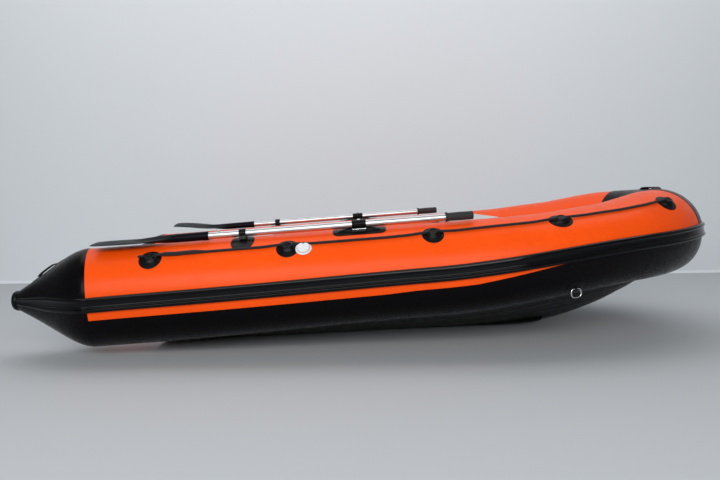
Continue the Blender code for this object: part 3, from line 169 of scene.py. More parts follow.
def surface(name, grid, material, wrap=(False, True), caps=True, sharp=38, body="hull", stands_for=()):
    """A mesh through a grid of points, joined round where it wraps, with flat end caps.

    The UV map holds metres: along the rows' running length and along the columns'.
    """
    grid = np.asarray(grid, float)
    rows, columns = grid.shape[:2]
    i, j = np.meshgrid(
        np.arange(rows if wrap[0] else rows - 1), np.arange(columns if wrap[1] else columns - 1), indexing="ij",
    )
    corner_i = np.stack([i, i, i + 1, i + 1], -1).reshape(-1, 4)
    corner_j = np.stack([j, j + 1, j + 1, j], -1).reshape(-1, 4)
    quads = (corner_i % rows) * columns + corner_j % columns
    down = np.linalg.norm(np.diff(grid, axis=0, append=grid[:1]), axis=2).mean(1)
    over = np.linalg.norm(np.diff(grid, axis=1, append=grid[:, :1]), axis=2).max(0)
    down, over = (np.concatenate([[0.0], np.cumsum(v)]) for v in (down, over))
    uv = np.stack([down[corner_i], over[corner_j]], -1).reshape(-1, 2)
    faces = quads.tolist()
    if caps and wrap[1]:
        faces += [list(range(columns))[::-1], list(range((rows - 1) * columns, rows * columns))]
        uv = np.concatenate([uv, np.zeros((2 * columns, 2))])
    mesh = bpy.data.meshes.new(name)
    mesh.from_pydata(grid.reshape(-1, 3), [], faces)
    mesh.uv_layers.new(name="metres").data.foreach_set("uv", uv.ravel())
    form = bmesh.new()
    form.from_mesh(mesh)
    bmesh.ops.remove_doubles(form, verts=form.verts, dist=MERGE)
    bmesh.ops.dissolve_degenerate(form, edges=form.edges, dist=DEGENERATE)
    bmesh.ops.recalc_face_normals(form, faces=form.faces)
    form.to_mesh(mesh)
    form.free()
    return piece(name, mesh, material, body, stands_for, sharp)


def piece(name, mesh, material, body, stands_for, sharp):
    """Links a finished mesh, gives it its material and lets it move with its body."""
    mesh.shade_smooth()
    mesh.set_sharp_from_angle(angle=math.radians(sharp))
    item = bpy.data.objects.new(name, mesh)
    PARTS.objects.link(item)
    mesh.materials.append(material)
    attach(item, body)
    if stands_for:
        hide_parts(*stands_for)
    return item


def joined(name, items):
    """Several pieces of one body made one object, keeping each one's material."""
    form = bmesh.new()
    base = items[0]
    for number, item in enumerate(items):
        before = len(form.faces)
        form.from_mesh(item.data)
        form.faces.ensure_lookup_table()
        for face in form.faces[before:]:
            face.material_index = number
    form.to_mesh(base.data)
    form.free()
    for item in items[1:]:
        base.data.materials.append(item.data.materials[0])
        bpy.data.objects.remove(item, do_unlink=True)
    base.name = name
    return base


def swept(path, outward, upward, section):
    """A section of out and up pairs carried along a path: path plus out and up parts."""
    out, up = np.asarray(section, float)[None, :, :1], np.asarray(section, float)[None, :, 1:]
    return path[:, None] + out * outward[:, None] + up * upward[:, None]


def round_swept(path, first, second, radius, steps):
    """A circle carried along a path: cosine times one direction, sine times the other."""
    phi = circle(steps)[None, :, None]
    return path[:, None] + radius * (np.cos(phi) * first[:, None] + np.sin(phi) * second[:, None])


def rounded_corners(points, radius, steps=3):
    """A closed outline with each corner replaced by a quadratic curve between two points.

    The points lie the given radius from the corner, or 0.45 of the shorter side.
    """
    points = np.asarray(points, float)
    before, after = np.roll(points, 1, 0), np.roll(points, -1, 0)
    t = np.linspace(0, 1, steps + 1)[None, :, None]
    reach = np.minimum(radius, 0.45 * np.minimum(
        np.linalg.norm(points - before, axis=1), np.linalg.norm(after - points, axis=1)))[:, None]
    start = points + unit(before - points) * reach
    end = points + unit(after - points) * reach
    curve = (1 - t) ** 2 * start[:, None] + 2 * t * (1 - t) * points[:, None] + t ** 2 * end[:, None]
    return curve.reshape(-1, 2)


def turned(profile, origin, axis, steps=40, bevel=0.0006, scale=(1.0, 1.0), across=(0.0, 1.0, 0.0)):
    """A profile of radius and height pairs turned about an axis, its corners rounded."""
    profile = np.asarray(profile, float)
    if bevel:
        profile = rounded_corners(profile, bevel)
        profile[:, 0] = np.maximum(profile[:, 0], 0.0)
    axis = unit(axis)
    side = unit(np.cross(axis, across))
    ahead = np.cross(side, axis)
    phi = circle(steps)[:, None]
    ring = np.cos(phi) * side * scale[0] + np.sin(phi) * ahead * scale[1]
    return np.asarray(origin) + profile[:, None, :1] * ring[None] + profile[:, None, 1:] * axis


def on_tube(side, x, degrees, a, b, height):
    """Points near a place on the tube: a metres along it, b round it, a height off it."""
    _, along, _, _ = tube_frame(x)
    places = x + np.asarray(a) * along[0]
    return mirrored(tube_skin(places, math.radians(degrees) + np.asarray(b) / SKIN_RADIUS, height), side)


RING_CROWDING, PATCH_SINK, EDGE_SHARE = 0.75, -0.001, 0.35


def relief(name, side, x, degrees, outline, height, material, rings=14, **options):
    """A moulded patch on the tube: its outline shrinks in rings to its middle.

    The height is a function of the place along and round the tube and of the share of
    the way from the middle to the rim. The first two rings close it underneath.
    """
    shares = np.concatenate([[1.0, 1.0], np.linspace(1.0, 0.0, rings) ** RING_CROWDING])
    grid = shares[:, None, None] * np.asarray(outline)[None]
    a, b = grid[..., 0], grid[..., 1]
    rise = height(a, b, shares[:, None] * np.ones(a.shape[1]))
    rise[0] = PATCH_SINK
    rise[1] *= EDGE_SHARE
    return surface(name, on_tube(side, x, degrees, a, b, rise), material, **options)


def oval(length, width, power=2.0, count=56):
    """Outline of a superellipse: a circle or ellipse at power 2, squarer above it."""
    t = circle(count)
    return np.stack([length / 2 * squarer(np.cos(t), 2 / power), width / 2 * squarer(np.sin(t), 2 / power)], 1)


def rim(share, thickness, roundness=0.12):
    """Thickness of a flat patch that falls to its edge as a quarter circle."""
    t = np.clip((1 - share) / roundness, 0.0, 1.0)
    return thickness * (EDGE_SHARE + (1 - EDGE_SHARE) * np.sqrt(1 - (1 - t) ** 2))


# Shader maths
class Socket:
    """A value in a material, with arithmetic that adds Math nodes."""

    def __init__(self, shop, link):
        self.shop, self.link = shop, link

    def maths(self, operation, *values):
        """A Math node on the given values."""
        return self.shop.node("ShaderNodeMath", {"operation": operation}, *values)

    def __add__(self, other):
        return self.maths("ADD", self, other)

    def __radd__(self, other):
        return self.maths("ADD", other, self)

    def __sub__(self, other):
        return self.maths("SUBTRACT", self, other)

    def __rsub__(self, other):
        return self.maths("SUBTRACT", other, self)

    def __mul__(self, other):
        return self.maths("MULTIPLY", self, other)

    def __rmul__(self, other):
        return self.maths("MULTIPLY", other, self)

    def sine(self):
        """The sine of the value in radians."""
        return self.maths("SINE", self)


class Finish:
    """A material with its Principled shader and the means to add nodes to it."""

    def __init__(self, name, slot, color, roughness, **settings):
        self.material = bpy.data.materials.new(name)
        self.material.use_nodes = True
        self.tree = self.material.node_tree
        self.shader = self.tree.nodes["Principled BSDF"]
        self.shader.inputs["Base Color"].default_value = (*color, 1.0)
        self.shader.inputs["Roughness"].default_value = roughness
        for key, value in settings.items():
            self.shader.inputs[key.replace("_", " ")].default_value = value

    def node(self, kind, settings=None, *values, out=0, **named):
        """Adds a node: its settings first, then the values or links of its sockets."""
        made = self.tree.nodes.new(kind)
        for key, value in (settings or {}).items():
            setattr(made, key, value)
        pairs = list(enumerate(values)) + [(k.replace("_", " "), v) for k, v in named.items()]
        for key, value in pairs:
            target = made.inputs[key]
            if isinstance(value, Socket):
                self.tree.links.new(value.link, target)
            else:
                target.default_value = value
        return Socket(self, made.outputs[out])

    def place(self, scale=(1.0, 1.0, 1.0), uv=False):
        """Object coordinates, or the piece's own UV map in metres, scaled."""
        source = self.node("ShaderNodeTexCoord", out="UV" if uv else "Object")
        return self.node("ShaderNodeMapping", None, source, Scale=scale)

    def axis(self, where, name):
        """One coordinate of a place."""
        return self.node("ShaderNodeSeparateXYZ", None, where, out=name)

    def noise(self, scale, detail=3.0, stretch=(1.0, 1.0, 1.0)):
        """Soft noise from 0 to 1 in Object coordinates."""
        where = self.place(stretch)
        return self.node("ShaderNodeTexNoise", None, Vector=where, Scale=scale, Detail=detail, Roughness=0.55)

    def ramp(self, value, low, high, start=0.0, end=1.0):
        """A value mapped smoothly from one range to another."""
        smooth = {"interpolation_type": "SMOOTHSTEP"}
        return self.node("ShaderNodeMapRange", smooth, value, low, high, start, end)

    def band(self, value, start, width, edge):
        """A band from 0 to 1 and back: one smooth step up and another down."""
        up = self.ramp(value, start, start + edge)
        return up * (1 - self.ramp(value, start + width, start + width + edge))

    def tint(self, amount, first, second):
        """A colour between two, by an amount; each is a colour or a link."""
        made = self.tree.nodes.new("ShaderNodeMix")
        made.data_type = "RGBA"
        for index, value in ((0, amount), (6, first), (7, second)):
            if isinstance(value, Socket):
                self.tree.links.new(value.link, made.inputs[index])
            else:
                made.inputs[index].default_value = value if index == 0 else (*value, 1.0)
        return Socket(self, made.outputs[2])

    def feed(self, name, value):
        """Links a value to one of the shader's sockets."""
        self.tree.links.new(value.link, self.shader.inputs[name])

    def bump(self, *layers):
        """Bump from pairs of height and depth in metres, one node on another."""
        normal = None
        for height, depth in layers:
            named = {"Height": height, "Distance": depth, "Strength": 1.0}
            if normal:
                named["Normal"] = normal
            normal = self.node("ShaderNodeBump", None, **named)
        self.feed("Normal", normal)


# Radians of a wave per metre, and lengths of one wave along and across
WEAVE, SQUARES = 2600, 400
BRAID, RIBS = (0.012, 0.0063), (0.002, 0.0015)


def shade(color, factor):
    """A colour made darker or lighter."""
    return tuple(min(1.0, c * factor) for c in color)


def coated_fabric(name, slot, color, roughness, seams=(), shine=0.12):
    """Coated fabric of the tubes: a fine weave under gloss, slight shading and lap seams.

    The weave is the product of two sine waves along the UV's metres. Each seam is a band
    across the tube, given as its start and width and raised between two smooth steps.
    """
    made = Finish(name, slot, color, roughness, Specular_IOR_Level=shine, Coat_Weight=0.02, Coat_Roughness=0.12)
    uv = made.place(uv=True)
    u, v = made.axis(uv, "X"), made.axis(uv, "Y")
    weave = (u * WEAVE).sine() * (v * WEAVE).sine()
    broad = made.noise(2.3, 3.0)
    cloud = made.noise(28.0, 4.0)
    spots = made.noise(240.0, 2.0)
    made.feed("Base Color", made.tint(
        made.ramp(broad, 0.3, 0.7), made.tint(made.ramp(spots, 0.35, 0.65), shade(color, 0.93), color),
        made.tint(made.ramp(cloud, 0.35, 0.7), color, shade(color, 1.06)),
    ))
    made.feed("Roughness", made.ramp(cloud, 0.3, 0.75, roughness - 0.05, roughness + 0.08))
    layers = [(broad, 0.003), (cloud, 0.0001), (weave, 0.00003)]
    for start, width in seams:
        layers.append((made.band(u, start, width, 0.002), 0.0006))
    made.bump(*layers)
    return made.material


def moulded(name, slot, color, roughness, grain=0.0001, scale=900.0, wear=1.5, swell=0.0006, joints=(), **settings):
    """Moulded rubber or plastic: a fine grain, cloudy gloss, paler rubs and raised joints."""
    made = Finish(name, slot, color, roughness, **settings)
    fine, cloud = made.noise(scale, 2.0), made.noise(14.0, 5.0)
    streak = made.noise(40.0, 4.0, stretch=(0.25, 1.0, 1.0))
    rubbed = made.ramp(cloud * 0.6 + streak * 0.4, 0.45, 0.72)
    made.feed("Base Color", made.tint(rubbed, color, shade(color, wear)))
    made.feed("Roughness", made.ramp(streak, 0.3, 0.7, roughness - 0.06, roughness + 0.10))
    layers = [(cloud, swell), (fine, grain)]
    along = made.axis(made.place(), "X")
    for start, width in joints:
        layers.append((made.band(along, start, width, 0.001), 0.0008))
    made.bump(*layers)
    return made.material


def brushed_tube(name, slot, color, roughness):
    """Drawn and anodised tube: hair lines along it and faint handling marks."""
    made = Finish(name, slot, color, roughness, Metallic=1.0)
    lines = made.noise(700.0, 3.0, stretch=(0.02, 1.0, 1.0))
    marks = made.noise(16.0, 5.0)
    made.feed("Base Color", made.tint(made.ramp(marks, 0.4, 0.75), color, shade(color, 0.86)))
    gloss = lines * 0.7 + marks * 0.3
    made.feed("Roughness", made.ramp(gloss, 0.3, 0.7, roughness - 0.06, roughness + 0.10))
    made.bump((lines, 0.00003))
    return made.material


def coated_board(name, slot, color):
    """Floor panel: grey coat with a grid of small raised squares against slipping."""
    made = Finish(name, slot, color, 0.6)
    where = made.place()
    x, y = made.axis(where, "X"), made.axis(where, "Y")
    ribs = (x * SQUARES).sine() * (y * SQUARES).sine()
    worn = made.noise(5.0, 5.0)
    grain = made.noise(500.0, 2.0)
    made.feed("Base Color", made.tint(made.ramp(worn, 0.42, 0.68), color, shade(color, 1.25)))
    made.feed("Roughness", made.ramp(worn, 0.3, 0.7, 0.5, 0.72))
    made.bump((made.ramp(ribs, 0.1, 0.5), 0.0006), (grain, 0.0001))
    return made.material


def braided(name, slot, color):
    """Braided cord: the greater of two sine waves that cross at an angle round it."""
    made = Finish(name, slot, color, 0.75, Sheen_Weight=0.05)
    uv = made.place(uv=True)
    u, v = made.axis(uv, "X") * (TURN / BRAID[0]), made.axis(uv, "Y") * (TURN / BRAID[1])
    one, other = (u + v).sine(), (u - v).sine()
    strands = one.maths("MAXIMUM", one, other)
    fuzz = made.noise(1500.0, 2.0)
    # The colour follows the strands: painted shade darkens the gaps between them and painted highlight lightens their
    # crowns.
    made.feed("Base Color", made.tint(made.ramp(strands, 0.0, 0.9), shade(color, 0.4), shade(color, 1.8)))
    made.bump((strands, 0.0009), (fuzz, 0.0002))
    return made.material


def webbing(name, slot, color):
    """Woven strap: the product of two sine waves, ribs across it and threads along it."""
    made = Finish(name, slot, color, 0.7, Sheen_Weight=0.05)
    uv = made.place(uv=True)
    u, v = made.axis(uv, "X") * (TURN / RIBS[0]), made.axis(uv, "Y") * (TURN / RIBS[1])
    weave = u.sine() * v.sine()
    # The colour follows the weave: painted shade darkens its hollows and painted highlight lightens the raised
    # threads.
    made.feed("Base Color", made.tint(made.ramp(weave, -0.6, 0.8), shade(color, 0.6), shade(color, 1.6)))
    made.bump((weave, 0.0004), (made.noise(900.0), 0.0001))
    return made.material


ORANGE_COLOR, BLACK_COLOR = (0.95, 0.086, 0.004), (0.0020, 0.0016, 0.0021)
AFT_SEAM, FORE_SEAMS = (0.50, 0.03), ((1.93, 0.03), (2.52, 0.03))
ORANGE = coated_fabric("orange_fabric", "orange_pvc", ORANGE_COLOR, 0.34, (AFT_SEAM, *FORE_SEAMS))
BLACK = coated_fabric("black_fabric", "black_pvc", BLACK_COLOR, 0.26, FORE_SEAMS, 0.08)
HULL_BLACK = coated_fabric("bottom_fabric", "black_pvc", BLACK_COLOR, 0.34, shine=0.08)
RAIL_JOINTS = ((-0.80, 0.03), (0.60, 0.03), (1.10, 0.012))
RAIL = moulded(
    "rail_rubber", "black_rubber", (0.002, 0.002, 0.0024), 0.09, grain=0.00001, swell=0.00002,
    joints=RAIL_JOINTS, Specular_IOR_Level=0.18,
)
RUBBER = moulded(
    "fitting_rubber", "black_rubber", (0.003, 0.003, 0.0035), 0.34, swell=0.0001, Specular_IOR_Level=0.14,
)
GRIP = moulded("grip_rubber", "black_rubber", (0.018, 0.018, 0.018), 0.72, grain=0.0003, scale=600.0)
PLASTIC = moulded("light_plastic", "grey_plastic", (0.78, 0.79, 0.80), 0.35, wear=0.92)
BENCH = moulded("bench_board", "grey_plastic", (0.60, 0.61, 0.62), 0.5, grain=0.0002, scale=500.0, wear=0.88)
BLADE = moulded(
    "blade_plastic_dark", "blade_plastic", (0.002, 0.0026, 0.005), 0.38, wear=1.4, swell=0.0001,
    Specular_IOR_Level=0.08,
)
FLOOR_PANEL = coated_board("floor_panel", "grey_board", (0.27, 0.28, 0.29))
TRANSOM_PANEL = moulded("transom_panel", "grey_board", (0.24, 0.25, 0.26), 0.5, grain=0.0002, scale=400.0, wear=1.2)
ALLOY = brushed_tube("drawn_alloy", "anodised_aluminium", (0.66, 0.67, 0.68), 0.36)
STEEL = brushed_tube("polished_steel", "stainless_steel", (0.70, 0.71, 0.73), 0.16)
CORD = braided("braided_cord", "black_rope", (0.006, 0.006, 0.007))
STRAP = webbing("strap_webbing", "black_pvc", (0.006, 0.006, 0.007))

# Air chambers: round tubes with a slightly softer waist at each lap seam
AROUND = np.linspace(-np.pi, np.pi, 96, endpoint=False)
SEAM_ALONG = tube_frame(SEAM_X)[1]
WAIST_PLACES, WAIST_DEPTH, WAIST_WIDTH = (-0.86, 0.57, 1.06), 0.0009, 0.02
SLANT_ROWS, SLANT_SHARE = 9, 0.9
CONE_BODY = CONE_LENGTH - CONE_TIP_DOME
CONE_POWER, CONE_SHOULDER = 1.12, 0.9
CONE_HEM_END, CONE_HEM_LIFT, CONE_LIFT, CONE_TUCK = 0.06, 0.0012, 0.0004, -0.002
DOME_TURN = (0.15, 1.35)
TIP_CAP = [
    (0.036, 0.004), (0.0450, 0.004), (0.0462, -0.008), (0.0430, -0.018), (0.032, -0.0235), (0.0, -0.0245),
    (0.0, 0.004),
]


def cone_radius(share):
    """Radius along the cone: nearly straight after a full shoulder by the tube.

    It falls by a power of the share, less a shoulder: the share times the rest cubed.
    """
    fall = share ** CONE_POWER - CONE_SHOULDER * share * (1 - share) ** 3
    return CONE_TIP_RADIUS + (SKIN_RADIUS - CONE_TIP_RADIUS) * (1 - fall)


def cone_skin(share, angle, lift=0.0):
    """Stern cone: a ring of its radius at each share of its length; its seam slants."""
    share = np.asarray(share, float)
    centre, along, outward, upward = tube_frame(SEAM_X)
    radius = cone_radius(share) + lift
    back = CONE_SEAM_SLANT * np.cos(angle) * (1 - share) - CONE_BODY * share
    deep = np.where(np.sin(angle) > 0, 1.0, 1 + BELLY)
    ring = np.cos(angle)[..., None] * outward + (deep * np.sin(angle))[..., None] * upward
    return centre + back[..., None] * along + radius[..., None] * ring


for word, side in SIDES.items():
    x = tube_places(70, 60)
    waist = sum(-WAIST_DEPTH * np.exp(-((x - place) / WAIST_WIDTH) ** 2) for place in WAIST_PLACES)
    grid = tube_skin(x[:, None], AROUND[None], waist[:, None])
    slant = CONE_SEAM_SLANT * np.cos(AROUND)
    grid[0] += slant[:, None] * SEAM_ALONG
    shift = np.linspace(1, 0, SLANT_ROWS)[:, None, None] * slant[None, :, None]
    grid[1:SLANT_ROWS + 1] += shift * SEAM_ALONG * SLANT_SHARE
    grid[-1, :, 1] = 0.0
    chamber = surface(f"{word}_air_chamber", mirrored(grid, side), ORANGE, stands_for=[f"{word}_chamber"])

    share = np.concatenate([[0.0], np.linspace(0.0, 1.0, 40)])
    lift = np.where(share < CONE_HEM_END, CONE_HEM_LIFT, CONE_LIFT)
    lift[0], lift[-3:] = CONE_TUCK, 0.0
    grid = cone_skin(share[:, None], AROUND[None], lift[:, None] * np.ones(len(AROUND)))
    middle = grid[-1].mean(0)
    dome = [
        middle + (grid[-1] - middle) * math.cos(t) - SEAM_ALONG * CONE_TIP_DOME * math.sin(t)
        for t in np.linspace(*DOME_TURN, 7)
    ]
    grid = mirrored(np.concatenate([grid, dome]), side)
    surface(f"{word}_stern_cone", grid, BLACK, stands_for=[f"{word}_cone"])
    collar = turned(TIP_CAP, mirrored(middle, side), mirrored(SEAM_ALONG, side), bevel=0.0012, steps=48)
    surface(f"{word}_tip_cap", collar, RUBBER, caps=False)


# Rub rail round the whole boat
RAIL_HALF_HEIGHT = 0.0335
RAIL_SECTION = rounded_corners([
    (-0.001, RAIL_HALF_HEIGHT), (0.0080, 0.0330), (0.0145, 0.0285), (0.0152, 0.0190), (0.0092, 0.0125),
    (0.0085, -0.0055), (0.0108, -0.0085), (0.0085, -0.0120), (0.0100, -0.0150), (0.0155, -0.0185),
    (0.0160, -0.0260), (0.0130, -0.0320), (-0.001, -RAIL_HALF_HEIGHT),
], 0.0022)
CONE_RAIL_END, RAIL_START_GAP = 0.97, 0.005
TIP_PROUD, TIP_PROUD_POWER, TIP_TALL, TIP_TALL_GAIN = (0.55, 0.45), 0.8, 0.42, 1.2


def rail_drop(x):
    """How far the rail's middle runs below the tube's axis: a polynomial of the place."""
    return np.polyval(RAIL_LINE, np.clip(x, SEAM_X, RAIL_LINE_END))


def rail_rings(centre, outward, upward, section, radius, tall, deep):
    """Rings of the rail that hug a tube: each point stands off the tube at its height.

    The tube's half width at a height is the radius times the root of one less the
    squared share of its half height.
    """
    up = section[..., 1]
    reach = np.clip(up / np.where(up > 0, tall, deep) / radius, -1.0, 1.0)
    out = section[..., 0] + radius * np.sqrt(1 - reach ** 2)
    return centre + out[..., None] * outward + up[..., None] * upward


def rail_half():
    """Rings of the rail from the port cone's tip, where it is slim, to the bow's middle."""
    share = np.linspace(CONE_RAIL_END, 0.0, 26)[:, None]
    centre, along, outward, upward = tube_frame(SEAM_X)
    centre = centre + along * (CONE_SEAM_SLANT * (1 - share) - CONE_BODY * share)[..., None]
    size = TIP_PROUD[0] + TIP_PROUD[1] * (1 - share) ** TIP_PROUD_POWER
    tall = np.minimum(1.0, TIP_TALL + TIP_TALL_GAIN * (1 - share))
    drop = rail_drop(SEAM_X) * (1 - share)
    section = np.stack([RAIL_SECTION[:, 0] * size, RAIL_SECTION[:, 1] * tall - drop], -1)
    cone = rail_rings(centre, outward, upward, section, cone_radius(share), 1.0, 1 + BELLY)
    x = tube_places(60, 70)
    x = x[x > SEAM_X + CONE_SEAM_SLANT + RAIL_START_GAP]
    centre, _, outward, upward = (v[:, None] for v in tube_frame(x))
    proud = RAIL_SECTION[:, 0] * np.ones((len(x), 1))
    section = np.stack([proud, RAIL_SECTION[:, 1] - rail_drop(x)[:, None]], -1)
    rest = rail_rings(centre, outward, upward, section, SKIN_RADIUS, crown(x)[:, None], belly(x)[:, None])
    rest[-1, :, 1] = 0.0
    return np.concatenate([cone, rest])


half = rail_half()
whole = np.concatenate([half, mirrored(half[:-1], -1)[::-1]])
surface("rub_rail_section", whole, RAIL, sharp=50, stands_for=["rub_rail"])


# Black wrap under each tube
STRIPE, STRIPE_STEP, STRIPE_STEP_RUN = 0.036, 0.006, (-0.05, 0.15)
STRIPE_TAPER, STRIPE_TAPER_START, STRIPE_TAPER_RUN = 0.038, 0.38, 0.46
WRAP_LOW_EDGE, WRAP_COLUMNS, WRAP_LIFTS = math.radians(-93), 26, (0.0018, 0.0002)


def skin_edge(x):
    """Angle of the wrap's upper edge: an orange stripe below the rail narrows to nothing.

    The arc sine of the depth of rail and stripe over the tube's own depth. The stripe
    loses a smooth step and then a straight taper.
    """
    taper = STRIPE_TAPER * np.clip((x - STRIPE_TAPER_START) / STRIPE_TAPER_RUN, 0, 1)
    stripe = STRIPE - STRIPE_STEP * smooth_step(x, *STRIPE_STEP_RUN) - taper
    return -np.arcsin((RAIL_HALF_HEIGHT + rail_drop(x) + stripe) / (SKIN_RADIUS * belly(x)))


for word, side in SIDES.items():
    x = tube_places(60, 60)
    top = skin_edge(x)[:, None]
    angle = top + np.linspace(0, 1, WRAP_COLUMNS) * (WRAP_LOW_EDGE - top)
    both = np.concatenate([angle, angle[:, ::-1]], 1)
    lift = np.repeat(WRAP_LIFTS, WRAP_COLUMNS)
    grid = tube_skin(x[:, None] * np.ones(2 * WRAP_COLUMNS), both, lift * np.ones((len(x), 1)))
    grid[0] += (CONE_SEAM_SLANT * np.cos(both[0]))[:, None] * SEAM_ALONG
    grid[-1, :, 1] = 0.0
    surface(f"{word}_under_wrap", mirrored(grid, side), BLACK, stands_for=[f"{word}_lower_skin"])

# Bottom: one sheet from tube to tube
KEEL_RISE, KEEL_RISE_START, KEEL_RISE_RUN, KEEL_POWER, KEEL_END = 0.2275, 0.60, 0.76, 2.4, 1.36
BOTTOM_START, BOTTOM_EDGE_ANGLE, BOTTOM_THICKNESS = -1.125, math.radians(-97.5), 0.003
FLAT_SHARE, FLAT_END, FLAT_RUN, SWELL_POWER = 0.42, 0.75, 1.3, 1.25
STRAKE_PLACES, STRAKE_DEPTH, STRAKE_WIDTH, STRAKE_RUN = (0.24, 0.52, 0.78), 0.004, 0.022, (-0.2, 0.5)
GUARD_DEPTH, GUARD_EDGE = 0.0035, (0.045, 0.075)


def keel_height(x):
    """Height of the keel line, flat and then rising by a power of the way forward."""
    return KEEL_RISE * np.clip((x - KEEL_RISE_START) / KEEL_RISE_RUN, 0.0, None) ** KEEL_POWER


def bottom_surface(x, columns):
    """Upper side of the bottom sheet, from the port tube to the keel line.

    A column is the share of the way from keel to tube. The keel runs ahead of the tube
    in the bow. The height rises by a power of the column past the flat part.
    """
    edge = tube_skin(x, np.full(x.shape, BOTTOM_EDGE_ANGLE), np.zeros(x.shape))
    ahead = STRAIGHT_END + (edge[:, 0] - STRAIGHT_END) * (KEEL_END - STRAIGHT_END) / ARC_LENGTH_X
    keel_x = np.where(edge[:, 0] > STRAIGHT_END, ahead, edge[:, 0])
    keel = np.stack([keel_x, np.zeros(x.shape), keel_height(keel_x) + BOTTOM_THICKNESS], -1)
    flat = FLAT_SHARE * np.clip((FLAT_END - x) / FLAT_RUN, 0.0, 1.0)[:, None]
    grid = keel[:, None] + (edge - keel)[:, None] * columns[None, :, None]
    swell = (np.clip(columns[None] - flat, 0.0, 1.0) / (1 - flat)) ** SWELL_POWER
    grid[..., 2] = keel[:, None, 2] + (edge - keel)[:, None, 2] * swell
    return grid


x = tube_places(40, 44, BOTTOM_START)[:-1]
columns = np.linspace(1.0, 0.0, 33)
port_half = bottom_surface(x, columns)
upper = np.concatenate([port_half, mirrored(port_half[:, :-1], -1)[:, ::-1]], 1)
span = np.concatenate([columns, columns[:-1][::-1]])
strake = sum(STRAKE_DEPTH * np.exp(-((span - place) / STRAKE_WIDTH) ** 2) for place in STRAKE_PLACES)
strake = strake * smooth_step(x, *STRAKE_RUN)[:, None]
guard = GUARD_DEPTH * (1 - smooth_step(span, *GUARD_EDGE))
thick = BOTTOM_THICKNESS + np.maximum(strake, guard[None])
lower = upper - np.array([0, 0, 1.0]) * thick[..., None]
lower[..., 2] = np.maximum(lower[..., 2], 0.0)
middles = [(upper[row] + lower[row]) / 2 for row in (0, -1)]
aft_end, fore_end = (np.concatenate([line, line[::-1]])[None] for line in middles)
grid = np.concatenate([aft_end, np.concatenate([upper, lower[:, ::-1]], 1), fore_end])
surface("bottom_sheet", grid, HULL_BLACK, caps=False, stands_for=["hull_bottom"])

# Keel chamber under the floor: a squared oval between the floor line and the keel line
KEEL_TUBE_BEND, KEEL_TUBE_TOP, KEEL_TUBE_CLEARANCE = 0.565, (0.1345, 0.229, 0.266), 0.004
KEEL_TUBE_HALF, KEEL_TUBE_NARROWING, KEEL_TUBE_FULL_END = 0.19, 0.05, 0.3
low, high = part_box("keel_chamber")
x = np.linspace(low[0], high[0], 40)
floor_line = np.interp(x, [low[0], KEEL_TUBE_BEND, high[0]], KEEL_TUBE_TOP)
keel_line = keel_height(x) + KEEL_TUBE_CLEARANCE
waist = KEEL_TUBE_HALF - KEEL_TUBE_NARROWING * smooth_step(x, KEEL_TUBE_FULL_END, high[0])
flat_c, flat_s = squarer(np.cos(circle(32)), 0.5), squarer(np.sin(circle(32)), 0.5)
grid = np.stack([
    x[:, None] * np.ones(32), waist[:, None] * flat_c,
    (floor_line + keel_line)[:, None] / 2 + (floor_line - keel_line)[:, None] / 2 * flat_s,
], -1)
surface("keel_tube", grid, HULL_BLACK, stands_for=["keel_chamber"])

# Moulded holders, and the lifeline through them with its splice by the first one
HOLDER_X, HOLDER_ANGLE = (-1.03, -0.43, 0.209, 0.768, 1.265), (46.0, 47.5, 52.0, 54.5, 50.0)
HOLDER_SIZE, HOLDER_BASE, HOLDER_DOME, HOLDER_DOME_RADIUS = 0.1, 0.003, 0.018, 0.036
HOLDER_RING, HOLDER_RING_HALF, HOLDER_RING_WIDTH = 0.0035, (0.020, 0.014), 0.22
ROPE_X = (-1.1, -1.03, -0.85, 0.0, 0.205, 0.5, 0.768, 1.1, 1.265, 1.4)
ROPE_ANGLE = (49.5, 49.8, 51.0, 52.0, 54.0, 56.5, 57.0, 55.5, 53.0, 52.5)
ROPE_RADIUS, ROPE_LIFT, ROPE_SAG, ROPE_SAG_ANGLE, ROPE_SAG_RUN = 0.006, 0.0092, 0.0016, 1.0, (0.03, 0.12)
ROPE_PAST_HOLDERS = (0.052, 0.024)
SPLICE_START, SPLICE_END, SPLICE_SWELL = (-0.99, -0.965), (-0.84, -0.78), 0.55


def holder_height(a, b, share):
    """A thin round base, a low dome and a raised oval ring in its middle.

    The dome is a power of a circle's height; the ring is a bell curve of the distance
    from an oval.
    """
    dome = HOLDER_DOME * np.sqrt(np.clip(1 - (np.hypot(a, b) / HOLDER_DOME_RADIUS) ** 2, 0, 1)) ** 1.3
    off = np.hypot(a / HOLDER_RING_HALF[0], b / HOLDER_RING_HALF[1]) - 1
    return rim(share, HOLDER_BASE) + dome + HOLDER_RING * np.exp(-(off / HOLDER_RING_WIDTH) ** 2)


